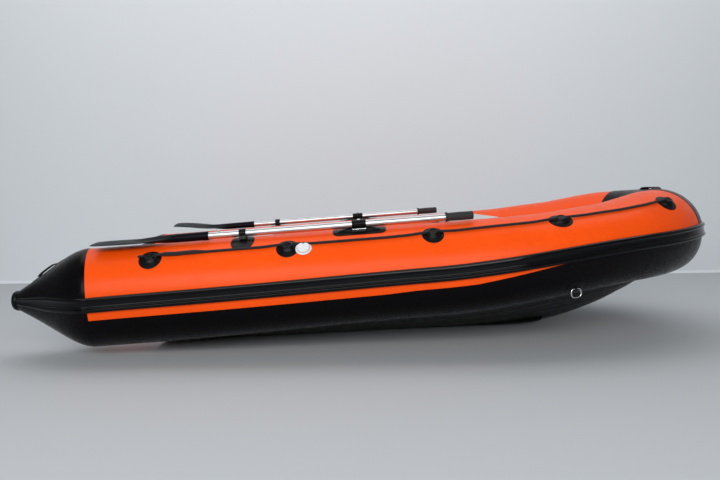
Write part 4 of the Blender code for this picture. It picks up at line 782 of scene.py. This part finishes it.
for word, side in SIDES.items():
    for number, (place, turn) in enumerate(zip(HOLDER_X, HOLDER_ANGLE), 1):
        relief(
            f"{word}_holder_{number}", side, place, turn, oval(HOLDER_SIZE, HOLDER_SIZE), holder_height, RUBBER,
            rings=26, stands_for=[f"{word}_rope_holder_{number}"],
        )
    start, end = HOLDER_X[0] - ROPE_PAST_HOLDERS[0], HOLDER_X[-1] + ROPE_PAST_HOLDERS[1]
    x = np.concatenate([np.linspace(start, STRAIGHT_END, 130), np.linspace(STRAIGHT_END, end, 90)[1:]])
    near = np.min(np.abs(x[:, None] - np.array(HOLDER_X)), axis=1)
    sag = smooth_step(near, *ROPE_SAG_RUN)
    angle = np.radians(np.interp(x, ROPE_X, ROPE_ANGLE) - ROPE_SAG_ANGLE * sag)
    path = tube_skin(x, angle, ROPE_LIFT - ROPE_SAG * sag)
    _, along, outward, upward = tube_frame(x)
    off = np.cos(angle)[:, None] * outward + np.sin(angle)[:, None] * upward
    splice = smooth_step(x, *SPLICE_START) * (1 - smooth_step(x, *SPLICE_END))
    thick = ROPE_RADIUS * (1 + SPLICE_SWELL * splice)
    path = path + (thick - ROPE_RADIUS)[:, None] * off
    grid = round_swept(path, off, np.cross(along, off), thick[:, None, None], 14)
    rope = surface(f"{word}_grab_line", mirrored(grid, side), CORD, stands_for=[f"{word}_lifeline"])
    line = mirrored(path, side)

# Oars, laid along the tubes on their oarlocks. Profiles are pairs of radius and place.
OARLOCK_X, OARLOCK_ANGLE, AXIS_OVER_PIVOT, BUTTON_BACK = -0.112, 76.0, 0.0238, 0.628
TUBE_WAY = unit([0.9982, 0.0, 0.05989])
OAR_TILT, OAR_AFT, OAR_FORE = 0.003, 1.205, 0.515
PAD_HALF, PAD_FLAT, PAD_CORNER, PAD_THICKNESS = (0.12, 0.05), (0.09, 0.02), 0.03, 0.0026
HUMP_START, HUMP_HEIGHT, HUMP_FALL, HUMP_FALL_RUN = 0.0317, 0.0105, 0.75, (0.020, 0.064)
HUMP_FRONT, HUMP_END, HUMP_SIDE = (-0.0004, 0.0006), (0.058, 0.066), (0.012, 0.023)
ROCKER = [(0.0, -0.0309), (0.0042, -0.0309), (0.0042, 0.0309), (0.0, 0.0309)]
PIN = [
    (0.0, 0.0), (0.004, 0.0), (0.004, 0.0434), (0.0078, 0.0434), (0.0074, 0.0464), (0.004, 0.0478), (0.0, 0.048),
]
BUTTON = [(0.0, 0.007), (0.0041, 0.007), (0.0041, 0.0192), (0.0034, 0.0212), (0.0018, 0.0219), (0.0, 0.022)]
SHAFT_RADIUS, SHAFT_BORE, SHAFT_BACK, SHAFT_SHORT, OVER_SHAFT = 0.016, 0.0142, 0.360, 0.006, 0.0163
SLEEVE_HALF, SLEEVE_RADIUS, FLUTE_DEPTH, FLUTE_PITCH, FLUTE_END = 0.0315, 0.0185, 0.0009, 0.0052, (0.027, 0.029)
GRIP_COLLAR = [(OVER_SHAFT, -0.125), (0.0222, -0.125), (0.0225, -0.122), (0.0218, -0.118)]
GRIP_END = [(0.0192, -0.0065), (0.0172, -0.0015), (0.0120, 0.0), (0.0, 0.0), (0.0, -0.0056), (OVER_SHAFT, -0.0056)]
GRIP_RIBS, GRIP_RADIUS, RIB_DEPTH, RIB_PITCH, GRIP_SWELL = (-0.113, -0.008), 0.0178, 0.0009, 0.0058, 0.0006
JOINTS = {joint["name"]: joint for joint in frame["joints"]}

# Blade, from its tip to where it ends in the socket
BLADE_ROLL, BLADE_RISE = {"port": -22.0, "starboard": 9.0}, {"port": 0.038, "starboard": 0.005}
BLADE_START, BLADE_LENGTH, BLADE_RISE_END, CUP_DEPTH, CUP_HALF, CUP_END = 0.015, 0.36, 0.95, 0.0065, 0.077, (0.6, 0.95)
BLADE_SHARES = [0, 0.012, 0.04, 0.10, 0.25, 0.45, 0.62, 0.78, 0.90, 1.0]
BLADE_HALF_WIDTHS = [0.0560, 0.0620, 0.0665, 0.0715, 0.0765, 0.0768, 0.0700, 0.0520, 0.0330, 0.0200]
SPINE, SPINE_GROWTH, SPINE_START = 0.0022, (0.0150, 0.35, 1.0), (0.0018, 0.02, 0.2)
SHEET, SHEET_GROWTH, SPINE_HALF, SPINE_HALF_GROWTH = 0.0020, 0.0012, 0.012, 0.010
SOCKET = [
    (0.0, 0.272), (0.009, 0.272), (0.0165, 0.327), (0.0192, 0.377), (0.0195, 0.500), (0.0202, 0.503),
    (0.0202, 0.524), (0.0192, 0.529), (OVER_SHAFT, 0.529), (OVER_SHAFT, 0.3597), (0.0, 0.3597),
]

# Clip: pad on the tube and a strap closed over the shaft
CLIP_X, CLIP_SHIFT, CLIP_ANGLE, CLIP_OVERHANG = -0.66, 0.026, 69.0, 0.013
CLIP_PAD, CLIP_PAD_POWER, CLIP_RIDGE, CLIP_RIDGE_MIDDLE = (0.105, 0.140), 2.4, 0.004, 0.026
CLIP_RIDGE_HALF, CLIP_RIDGE_WIDTH, CLIP_RIDGE_END = 0.018, 0.006, (0.014, 0.018)
LOOP_RADIUS, LOOP_TURN, LOOP_FOOT, LOOP_FLARE = 0.0185, 0.62 * math.pi, -0.0215, 0.006


def oarlock_height(a, b, share):
    """A rounded pad with a hump fore and aft of the sleeve, each bounded by smooth steps."""
    reach = np.abs(a) - HUMP_START
    hump = HUMP_HEIGHT * (1 - HUMP_FALL * smooth_step(reach, *HUMP_FALL_RUN))
    hump = hump * smooth_step(reach, *HUMP_FRONT) * (1 - smooth_step(reach, *HUMP_END))
    hump = hump * (1 - smooth_step(np.abs(b), *HUMP_SIDE))
    return rim(share, PAD_THICKNESS) + hump


def clip_height(a, b, share):
    """A rounded pad with two ridges beside the strap, each a bell curve across."""
    off = np.abs(b - CLIP_RIDGE_MIDDLE) - CLIP_RIDGE_HALF
    ridge = CLIP_RIDGE * np.exp(-(off / CLIP_RIDGE_WIDTH) ** 2)
    return rim(share, PAD_THICKNESS) + ridge * (1 - smooth_step(np.abs(a), *CLIP_RIDGE_END))


def oarlock_pad(side):
    """Both faces of the pad: a rectangle whose corners are pulled in to circles."""
    a, b = np.meshgrid(*(np.linspace(-half, half, n) for half, n in zip(PAD_HALF, (121, 51))), indexing="ij")
    past_a, past_b = np.abs(a) - PAD_FLAT[0], np.abs(b) - PAD_FLAT[1]
    corner = np.hypot(np.clip(past_a, 0, None), np.clip(past_b, 0, None)) / PAD_CORNER
    pull = np.where(corner > 1, 1 / np.maximum(corner, 1e-6), 1.0)
    inside = (past_a > 0) & (past_b > 0)
    a = np.where(inside, np.sign(a) * (PAD_FLAT[0] + past_a * pull), a)
    b = np.where(inside, np.sign(b) * (PAD_FLAT[1] + past_b * pull), b)
    edge = np.maximum(np.abs(a) / PAD_HALF[0], np.abs(b) / PAD_HALF[1])
    top = on_tube(side, OARLOCK_X, OARLOCK_ANGLE, a, b, oarlock_height(a, b, np.clip(edge, 0, 1)))
    under = on_tube(side, OARLOCK_X, OARLOCK_ANGLE, a, b, PATCH_SINK * np.ones(a.shape))
    return np.concatenate([top, under[:, ::-1]], 1)


def grip_profile():
    """The grip's half outline: a collar, ribs by a power of a sine on a slight swell, an end."""
    along = np.linspace(OAR_FORE + GRIP_RIBS[0], OAR_FORE + GRIP_RIBS[1], 120)
    ribs = GRIP_RADIUS + RIB_DEPTH * np.abs(np.sin(along * math.pi / RIB_PITCH)) ** 0.6
    ribs += GRIP_SWELL * np.sin((along - along[0]) / (along[-1] - along[0]) * math.pi)
    collar, end = ([(radius, OAR_FORE + place) for radius, place in part] for part in (GRIP_COLLAR, GRIP_END))
    return [*collar, *zip(ribs, along), *end]


def sleeve_profile():
    """The sleeve's half outline: flutes by a cosine that fade to plain ends."""
    place = np.linspace(-SLEEVE_HALF, SLEEVE_HALF, 64)
    fade = 1 - smooth_step(np.abs(place), *FLUTE_END)
    flutes = SLEEVE_RADIUS + FLUTE_DEPTH * (0.5 + 0.5 * np.cos(place * TURN / FLUTE_PITCH)) * fade
    return [(OVER_SHAFT, -SLEEVE_HALF), *zip(flutes, place), (OVER_SHAFT, SLEEVE_HALF)]


def blade_grid(word, axis, way, across, up_way):
    """The blade: width by a smoothed curve, a spine as a bell curve that grows to the socket.

    It is cupped by the squared share of the width, rolled about its own line, and its
    tip is bent up by a smooth step.
    """
    t = np.linspace(0, 1, 70)
    width = np.interp(t, BLADE_SHARES, BLADE_HALF_WIDTHS)
    width = np.convolve(np.pad(width, 3, mode="edge"), np.ones(7) / 7, mode="valid")
    c, s = np.cos(circle(72))[None], np.sin(circle(72))[None]
    growth, start = (size * smooth_step(t, low, high) for size, low, high in (SPINE_GROWTH, SPINE_START))
    spine, sheet = SPINE + growth + start, SHEET + SHEET_GROWTH * t
    reach = c * width[:, None]
    bell = np.exp(-(reach / (SPINE_HALF + SPINE_HALF_GROWTH * t[:, None])) ** 2)
    half_thick = sheet[:, None] * np.abs(s) ** 0.35 + (spine - sheet)[:, None] * bell * np.abs(s) ** 0.5
    cup = CUP_DEPTH * (reach / CUP_HALF) ** 2 * (1 - smooth_step(t, *CUP_END))[:, None]
    roll = math.radians(BLADE_ROLL[word])
    flat_way = math.cos(roll) * across - math.sin(roll) * up_way
    face_way = math.sin(roll) * across + math.cos(roll) * up_way
    line = axis + (BLADE_START - OAR_AFT + t * BLADE_LENGTH)[:, None, None] * way
    grid = line + reach[..., None] * flat_way + (np.sign(s) * half_thick - cup * 0.5)[..., None] * face_way
    return grid + BLADE_RISE[word] * (1 - smooth_step(t, 0.0, BLADE_RISE_END))[:, None, None] * up_way


def flat_strap(path, across, normal, width, thickness, radius):
    """A flat section with rounded edges carried along a path."""
    half, deep = width / 2, thickness / 2
    section = rounded_corners([(-half, -deep), (half, -deep), (half, deep), (-half, deep)], radius)
    return path[:, None] + section[None, :, :1] * across + section[None, :, 1:] * normal[:, None]


def clip_strap(spot, way, across, up_way):
    """The strap: an arc over the shaft and a straight, slightly flared leg on each side."""
    bend = np.linspace(-LOOP_TURN, LOOP_TURN, 40)
    out, up = LOOP_RADIUS * np.sin(bend), LOOP_RADIUS * np.cos(bend)
    tail = np.linspace(0.35, 1.0, 6)
    path = np.concatenate([
        np.stack([out[0] - LOOP_FLARE * tail[::-1], up[0] + (LOOP_FOOT - up[0]) * tail[::-1]], 1),
        np.stack([out, up], 1),
        np.stack([out[-1] + LOOP_FLARE * tail, up[-1] + (LOOP_FOOT - up[-1]) * tail], 1),
    ])
    step = unit(np.gradient(path, axis=0))
    world = spot + path[:, :1] * across + path[:, 1:] * up_way
    normal = -step[:, 1:] * across + step[:, :1] * up_way
    return flat_strap(world, way, normal, 0.03, 0.004, 0.0012)


for word, side in SIDES.items():
    swing = JOINTS[f"{word}_oar_swing"]
    pivot, up = np.array(swing["pos_m"], float), unit(swing["axis"])
    way = unit(TUBE_WAY + OAR_TILT * up)
    axis = pivot + up * AXIS_OVER_PIVOT
    across = np.cross(up, way)
    up_way = np.cross(way, across)
    surface(f"{word}_oarlock_base", oarlock_pad(side), RUBBER, stands_for=[f"{word}_oarlock_pad"])

    swivel = dict(caps=False, body=f"{word}_oarlock")
    rocker = surface("rocker", turned(ROCKER, pivot, TUBE_WAY, across=across), STEEL, **swivel)
    pin = surface(
        "pin", turned(PIN, pivot, up, across=way), STEEL, stands_for=[f"{word}_oarlock_swivel"], **swivel,
    )
    joined(f"{word}_oarlock_axle", [pin, rocker])

    body = f"{word}_oar"
    turns = dict(origin=axis, axis=way, across=across)
    tube = dict(wrap=(True, True), caps=False, body=body)
    ends = [(radius, place) for place in (SHAFT_BACK - OAR_AFT, OAR_FORE - SHAFT_SHORT)
            for radius in (SHAFT_BORE, SHAFT_RADIUS)]
    shaft = turned([ends[0], ends[1], ends[3], ends[2]], **turns, steps=56)[:, ::-1]
    surface(f"{word}_shaft", shaft, ALLOY, stands_for=[f"{word}_oar_shaft"], **tube)
    sleeve = turned(sleeve_profile(), **turns, steps=56, bevel=0.0)
    surface(f"{word}_sleeve", sleeve, RUBBER, stands_for=[f"{word}_oar_sleeve"], **tube)
    grip = turned(grip_profile(), **turns, steps=56, bevel=0.0)
    surface(f"{word}_grip", grip, GRIP, stands_for=[f"{word}_oar_grip"], **tube)

    press = -unit(JOINTS[f"{word}_oar_button_press"]["axis"])
    button = turned(BUTTON, axis - way * BUTTON_BACK, press, across=way, steps=28)
    surface(f"{word}_button", button, STEEL, caps=False, body=f"{word}_oar_button", stands_for=[f"{word}_oar_button"])

    grid = blade_grid(word, axis, way, across, up_way)
    blade = surface("blade", grid, BLADE, body=body, stands_for=[f"{word}_oar_blade"], sharp=50)
    profile = [(radius, place - OAR_AFT) for radius, place in SOCKET]
    grid = turned(profile, **turns, steps=48, bevel=0.0015)
    joined(f"{word}_blade", [blade, surface("socket", grid, BLADE, caps=False, body=body)])

    relief(
        f"{word}_clip_pad", side, CLIP_X + CLIP_SHIFT, CLIP_ANGLE, oval(*CLIP_PAD, CLIP_PAD_POWER), clip_height,
        RUBBER, stands_for=[f"{word}_oar_clip"],
    )
    spot = axis - way * ((pivot[0] - CLIP_X - CLIP_SHIFT + CLIP_OVERHANG) / way[0])
    surface(f"{word}_clip_strap", clip_strap(spot, way, across, up_way), RUBBER)

# Bench rails: T sections glued along the inside of the tubes
BENCH_RAIL_X, BENCH_RAIL_ANGLE, BENCH_RAIL_BASE = (-0.86, 0.66), math.radians(135), 0.004
BENCH_RAIL = [
    (0.018, -0.0006), (0.018, 0.002), (0.0165, 0.003), (0.0045, 0.0034), (0.0035, 0.0045), (0.0035, 0.0088),
    (0.0075, 0.0092), (0.0078, 0.0100), (0.0078, 0.0127), (0.0068, 0.0134),
]
for word, side in SIDES.items():
    x = np.linspace(*BENCH_RAIL_X, 90)
    centre, _, outward, upward = tube_frame(x)
    c, s = math.cos(BENCH_RAIL_ANGLE), math.sin(BENCH_RAIL_ANGLE)
    off, over = c * outward + s * upward, s * outward - c * upward
    section = np.array(BENCH_RAIL + [(-a, b) for a, b in BENCH_RAIL[::-1]])
    grid = swept(centre + off * SKIN_RADIUS, over, off, section)
    sink = SKIN_RADIUS * (1 - crown(x)) * s
    grid -= (section[:, 1] < BENCH_RAIL_BASE)[None, :, None] * sink[:, None, None] * upward[:, None]
    surface(f"{word}_bench_rail", mirrored(grid, side), RUBBER, sharp=40, stands_for=[f"{word}_seat_rail"])

# Air valves: flange, and a cap with spokes and a notched edge
VALVE_FLANGE = [
    (0.0172, 0.0), (0.0362, 0.0), (0.0360, 0.0028), (0.0335, 0.0048), (0.0300, 0.0050), (0.0285, 0.0040),
    (0.0185, 0.0040), (0.0172, 0.0050),
]
VALVE_LID = [
    (0.0, 0.0008), (0.0160, 0.0008), (0.0162, 0.0052), (0.0282, 0.0054), (0.0284, 0.0105), (0.0262, 0.0128),
    (0.0215, 0.0132), (0.0200, 0.0112), (0.0100, 0.0108), (0.0, 0.0110),
]
SPOKES, SPOKE_HEIGHT, SPOKE_REACH, SPOKE_LEVEL = 6, 0.0022, (0.003, 0.0200), 0.0100
NOTCHES, NOTCH_DEPTH, NOTCH_FROM = 36, 0.0006, 0.0275


def valve_lid(spot, off, way):
    """The cap turned about its axis: spokes by a power of a cosine, notches by its sign."""
    profile = rounded_corners(VALVE_LID, 0.001)
    profile[:, 0] = np.maximum(profile[:, 0], 0.0)
    phi = circle(144)
    ring = np.cos(phi)[:, None] * way + np.sin(phi)[:, None] * np.cross(off, way)
    radius, rise = profile[:, :1] * np.ones(144), profile[:, 1:] * np.ones(144)
    inside = (rise > SPOKE_LEVEL) & (radius > SPOKE_REACH[0]) & (radius < SPOKE_REACH[1])
    rise = rise + inside * (0.5 + 0.5 * np.cos(phi * SPOKES)) ** 6 * SPOKE_HEIGHT
    notch = NOTCH_DEPTH * (np.cos(phi * NOTCHES) > 0) * (radius > NOTCH_FROM)
    return spot + (radius - notch)[..., None] * ring + rise[..., None] * off


for word, side in SIDES.items():
    joint = JOINTS[f"{word}_valve_cap_turn"]
    spot, off = np.array(joint["pos_m"], float), unit(joint["axis"])
    way = unit(np.cross(off, np.cross([1.0, 0, 0], off)))
    flange = turned(VALVE_FLANGE, spot, off, across=way, steps=72, bevel=0.0008)
    surface(
        f"{word}_valve_flange", flange, PLASTIC, wrap=(True, True), caps=False, stands_for=[f"{word}_valve_body"],
    )
    surface(
        f"{word}_valve_lid", valve_lid(spot, off, way), PLASTIC, caps=False, sharp=30, body=f"{word}_valve_cap",
        stands_for=[f"{word}_valve_cap"],
    )

# Tow rings: bent steel wire, squared towards its corners, in a moulded block
TOW_X, TOW_ANGLE, TOW_PATCH, TOW_PATCH_SINK = 0.78, -48.0, 0.084, 0.0018
RING_HALF, RING_MIDDLE, RING_DEEP, RING_POWER, WIRE_RADIUS = 0.024, 0.020, 0.020, 0.72, 0.003
TOW_RIM, TOW_RIDGE, TOW_RIDGE_RADIUS, TOW_RIDGE_WIDTH = 0.0034, 0.0035, 0.022, 0.006
RING_BLOCK = [(0.0, -0.007), (0.0092, -0.007), (0.0086, 0.0030), (0.0062, 0.0052), (0.0, 0.0056)]
DOWN = np.array([0, 0, -1.0])


def tow_patch_height(a, b, share):
    """A round patch with a raised ring: a bell curve of the distance from a circle."""
    ring = np.exp(-((np.hypot(a, b) - TOW_RIDGE_RADIUS) / TOW_RIDGE_WIDTH) ** 2)
    return TOW_PATCH_SINK + rim(share, TOW_RIM) + TOW_RIDGE * ring


for word, side in SIDES.items():
    joint = JOINTS[f"{word}_tow_ring_swing"]
    spot, bar = np.array(joint["pos_m"], float), unit(joint["axis"])
    down = unit(DOWN - bar * np.dot(DOWN, bar))
    out = RING_HALF * squarer(np.cos(circle(120)), RING_POWER)
    drop = RING_MIDDLE + RING_DEEP * squarer(np.sin(circle(120)), RING_POWER)
    path = spot + out[:, None] * bar + drop[:, None] * down
    tangent = unit(np.roll(path, -1, 0) - np.roll(path, 1, 0))
    plane = np.cross(bar, down) * np.ones((120, 1))
    grid = round_swept(path, np.cross(tangent, plane), plane, WIRE_RADIUS, 16)
    surface(
        f"{word}_ring", grid, STEEL, wrap=(True, True), caps=False, body=f"{word}_tow_ring",
        stands_for=[f"{word}_tow_ring"],
    )
    relief(
        f"{word}_ring_patch", side, TOW_X, TOW_ANGLE, oval(TOW_PATCH, TOW_PATCH), tow_patch_height, RUBBER,
        rings=22, stands_for=[f"{word}_tow_patch"],
    )
    _, _, outward, upward = (mirrored(v, side) for v in tube_frame(TOW_X))
    turn = math.radians(TOW_ANGLE)
    off = math.cos(turn) * outward + math.sin(turn) * upward
    block = turned(RING_BLOCK, spot, off, across=bar, steps=40, bevel=0.001, scale=(1.0, 0.8))
    surface(f"{word}_ring_block", block, RUBBER, caps=False)


# Handles: flat webbing straps with their patches
STERN_STRAP, STERN_STRAP_HALF, STERN_STRAP_RISE, STERN_STRAP_LIFT = 0.58, 0.0425, 0.006, 0.0035
STERN_STRAP_SIZE, BOW_STRAP_SIZE = (0.030, 0.004), (0.050, 0.005)
STERN_PATCH, STERN_PATCH_POWER, STERN_PATCH_OFF, STERN_PATCH_THICKNESS = (0.040, 0.060), 2.6, 0.055, 0.0022
STERN_PATCH_EDGE = 0.0007


def strap_handle(name, path, across, width, thickness):
    """A flat strap carried along a path, its face square to the path and to across."""
    normal = unit(np.cross(unit(np.gradient(path, axis=0)), across))
    surface(name, flat_strap(path, across, normal, width, thickness, thickness * 0.4), STRAP)


for word, side in SIDES.items():
    t = np.linspace(-1, 1, 41)
    line = cone_skin(STERN_STRAP + t * STERN_STRAP_HALF / CONE_BODY, np.full(41, math.pi / 2))
    _, along, _, upward = tube_frame(SEAM_X)
    rise = STERN_STRAP_RISE * np.clip(1 - t ** 4, 0, 1) + STERN_STRAP_LIFT
    line = line + rise[:, None] * unit(upward + along * -0.5)
    strap_handle(f"{word}_stern_strap", mirrored(line, side), np.array([0, 1.0, 0]), *STERN_STRAP_SIZE)
    for way, end in ((-1, "fore"), (1, "aft")):
        shares = np.concatenate([[1.0, 1.0], np.linspace(1.0, 0.0, 10)])
        size = shares[:, None, None] * oval(*STERN_PATCH, STERN_PATCH_POWER)[None]
        rise = rim(shares, STERN_PATCH_THICKNESS)[:, None] * np.ones(size.shape[1])
        rise[0], rise[1] = PATCH_SINK, STERN_PATCH_EDGE
        where = STERN_STRAP + way * STERN_PATCH_OFF / CONE_BODY + size[..., 0] / CONE_BODY
        grid = cone_skin(where, math.pi / 2 + size[..., 1] / cone_radius(where), rise)
        surface(f"{word}_stern_patch_{end}", mirrored(grid, side), BLACK)

# Bow: the black band over the joint of the tubes and its handle
BAND_TURN, BAND_ANGLES, BAND_LIFTS = 0.41, (8, 186), (0.0022, -0.002)
BOW_STRAP_HALF, BOW_STRAP_RISE, BOW_STRAP_LIFT, BOW_STRAP_PRESS = 0.075, 0.0065, 0.005, 0.004
turn = np.linspace(-BAND_TURN, BAND_TURN, 61)
angle = np.radians(np.linspace(*BAND_ANGLES, 90))[None] * np.ones((61, 1))
x = (STRAIGHT_END + ARC_LENGTH_X * np.cos(turn))[:, None] * np.ones(90)
there = np.where((turn < 0)[:, None, None], np.array([1.0, -1.0, 1.0]), 1.0)
outer, inner = (tube_skin(x, angle, lift) * there for lift in BAND_LIFTS)
surface("bow_cover", np.concatenate([outer, inner[:, ::-1]], 1), BLACK, stands_for=["bow_patch"])

t = np.linspace(-1, 1, 61)
top = tube_skin(np.array(STRAIGHT_END + ARC_LENGTH_X), np.array(math.pi / 2), 0.0)
rise = BOW_STRAP_RISE * (1 - np.abs(t) ** 3.2) + BOW_STRAP_LIFT - BOW_STRAP_PRESS * np.abs(t) ** 6
line = top + np.stack([np.zeros(61), BOW_STRAP_HALF * t, rise], 1)
strap_handle("bow_strap", line, np.array([1.0, 0, 0]), *BOW_STRAP_SIZE)

# CAD nodes that keep their own shape
KEPT = {
    "floorboard_1": FLOOR_PANEL, "floorboard_2": FLOOR_PANEL, "floorboard_3": FLOOR_PANEL,
    "floorboard_bow": FLOOR_PANEL, "transom_board": TRANSOM_PANEL, "motor_plate": RUBBER,
    "port_transom_bracket": RUBBER, "starboard_transom_bracket": RUBBER, "drain_socket": RUBBER,
    "drain_plug": PLASTIC, "bench_aft": BENCH, "bench_fore": BENCH,
}
for name, material in KEPT.items():
    node = frame["nodes"][name]
    node.data.materials.clear()
    node.data.materials.append(material)

# Studio: pale floor, curtain behind, soft lamps
FLOOR_COLOR, BACKDROP_COLOR, WORLD_COLOR = (0.50, 0.525, 0.545), (0.80, 0.84, 0.87), (0.93, 0.96, 1.0)
STAGE_HALF_WIDTH, FLOOR_FRONT, BACKDROP_Y, BACKDROP_TOP, COVE = 12.0, -9.0, 2.05, 6.0, 0.02
STAGE_LINE = [
    (FLOOR_FRONT, 0.0), (BACKDROP_Y - COVE, 0.0), (BACKDROP_Y, COVE), (BACKDROP_Y, 1.0), (BACKDROP_Y, BACKDROP_TOP),
]


def plain(name, color, clear_back):
    """A plain studio surface. One with a clear back doesn't hide the boat from behind."""
    made = Finish(name, None, color, 0.9)
    if clear_back:
        side = made.node("ShaderNodeNewGeometry", out="Backfacing")
        front = Socket(made, made.shader.outputs["BSDF"])
        both = made.node("ShaderNodeMixShader", None, side, front, made.node("ShaderNodeBsdfTransparent"))
        made.tree.links.new(both.link, made.tree.nodes["Material Output"].inputs["Surface"])
    return made.material


def stage_strip(name, rows, color, clear_back=False):
    """A strip of the studio: a line of Y and Z places drawn across its whole width."""
    grid = np.array([[(x, y, z) for x in (-STAGE_HALF_WIDTH, STAGE_HALF_WIDTH)] for y, z in rows])
    mesh = bpy.data.meshes.new(name)
    faces = [(2 * k, 2 * k + 1, 2 * k + 3, 2 * k + 2) for k in range(len(rows) - 1)]
    mesh.from_pydata(grid.reshape(-1, 3), [], faces)
    mesh.materials.append(plain(name, color, clear_back))
    item = bpy.data.objects.new(name, mesh)
    bpy.context.scene.collection.objects.link(item)


stage_strip("studio_floor", STAGE_LINE[:2], FLOOR_COLOR)
stage_strip("studio_backdrop", STAGE_LINE[1:], BACKDROP_COLOR, clear_back=True)

world = bpy.data.worlds.new("studio")
bpy.context.scene.world = world
world.use_nodes = True
background = world.node_tree.nodes["Background"]
background.inputs["Color"].default_value = (*WORLD_COLOR, 1.0)
background.inputs["Strength"].default_value = 0.2


def lamp(name, spot, target, size, power):
    """A soft rectangular lamp that faces a target."""
    light = bpy.data.lights.new(name, "AREA")
    light.shape, light.size, light.size_y = "RECTANGLE", *size
    light.energy = power
    item = bpy.data.objects.new(name, light)
    item.location = spot
    item.rotation_euler = (Vector(target) - Vector(spot)).to_track_quat("-Z", "Y").to_euler()
    bpy.context.scene.collection.objects.link(item)


lamp("overhead", (0.0, 1.2, 4.2), (0.0, 0.7, 0.3), (8.0, 3.6), 125)
lamp("front", (-0.6, -5.2, 2.3), (0.0, 0.0, 0.5), (6.0, 2.2), 230)

# Camera: level with a slight roll, as the photograph's horizon shows
CAMERA_PLACE, CAMERA_LENS, CAMERA_SHIFT = (-0.14, -3.425, 0.70), 31.1, 0.0056
CAMERA_PITCH, CAMERA_ROLL = math.radians(3.8), math.radians(0.9)
camera_data = bpy.data.cameras.new("camera")
camera_data.sensor_width = 36.0
camera_data.lens = CAMERA_LENS
camera_data.shift_x = CAMERA_SHIFT
camera = bpy.data.objects.new("camera", camera_data)
camera.location = CAMERA_PLACE
look = Vector((0.0, math.cos(CAMERA_PITCH), -math.sin(CAMERA_PITCH)))
roll = Matrix.Rotation(-CAMERA_ROLL, 4, "Z")
camera.rotation_euler = (look.to_track_quat("-Z", "Y").to_matrix().to_4x4() @ roll).to_euler()
bpy.context.scene.collection.objects.link(camera)
bpy.context.scene.camera = camera
bpy.context.scene.view_settings.view_transform = "Standard"
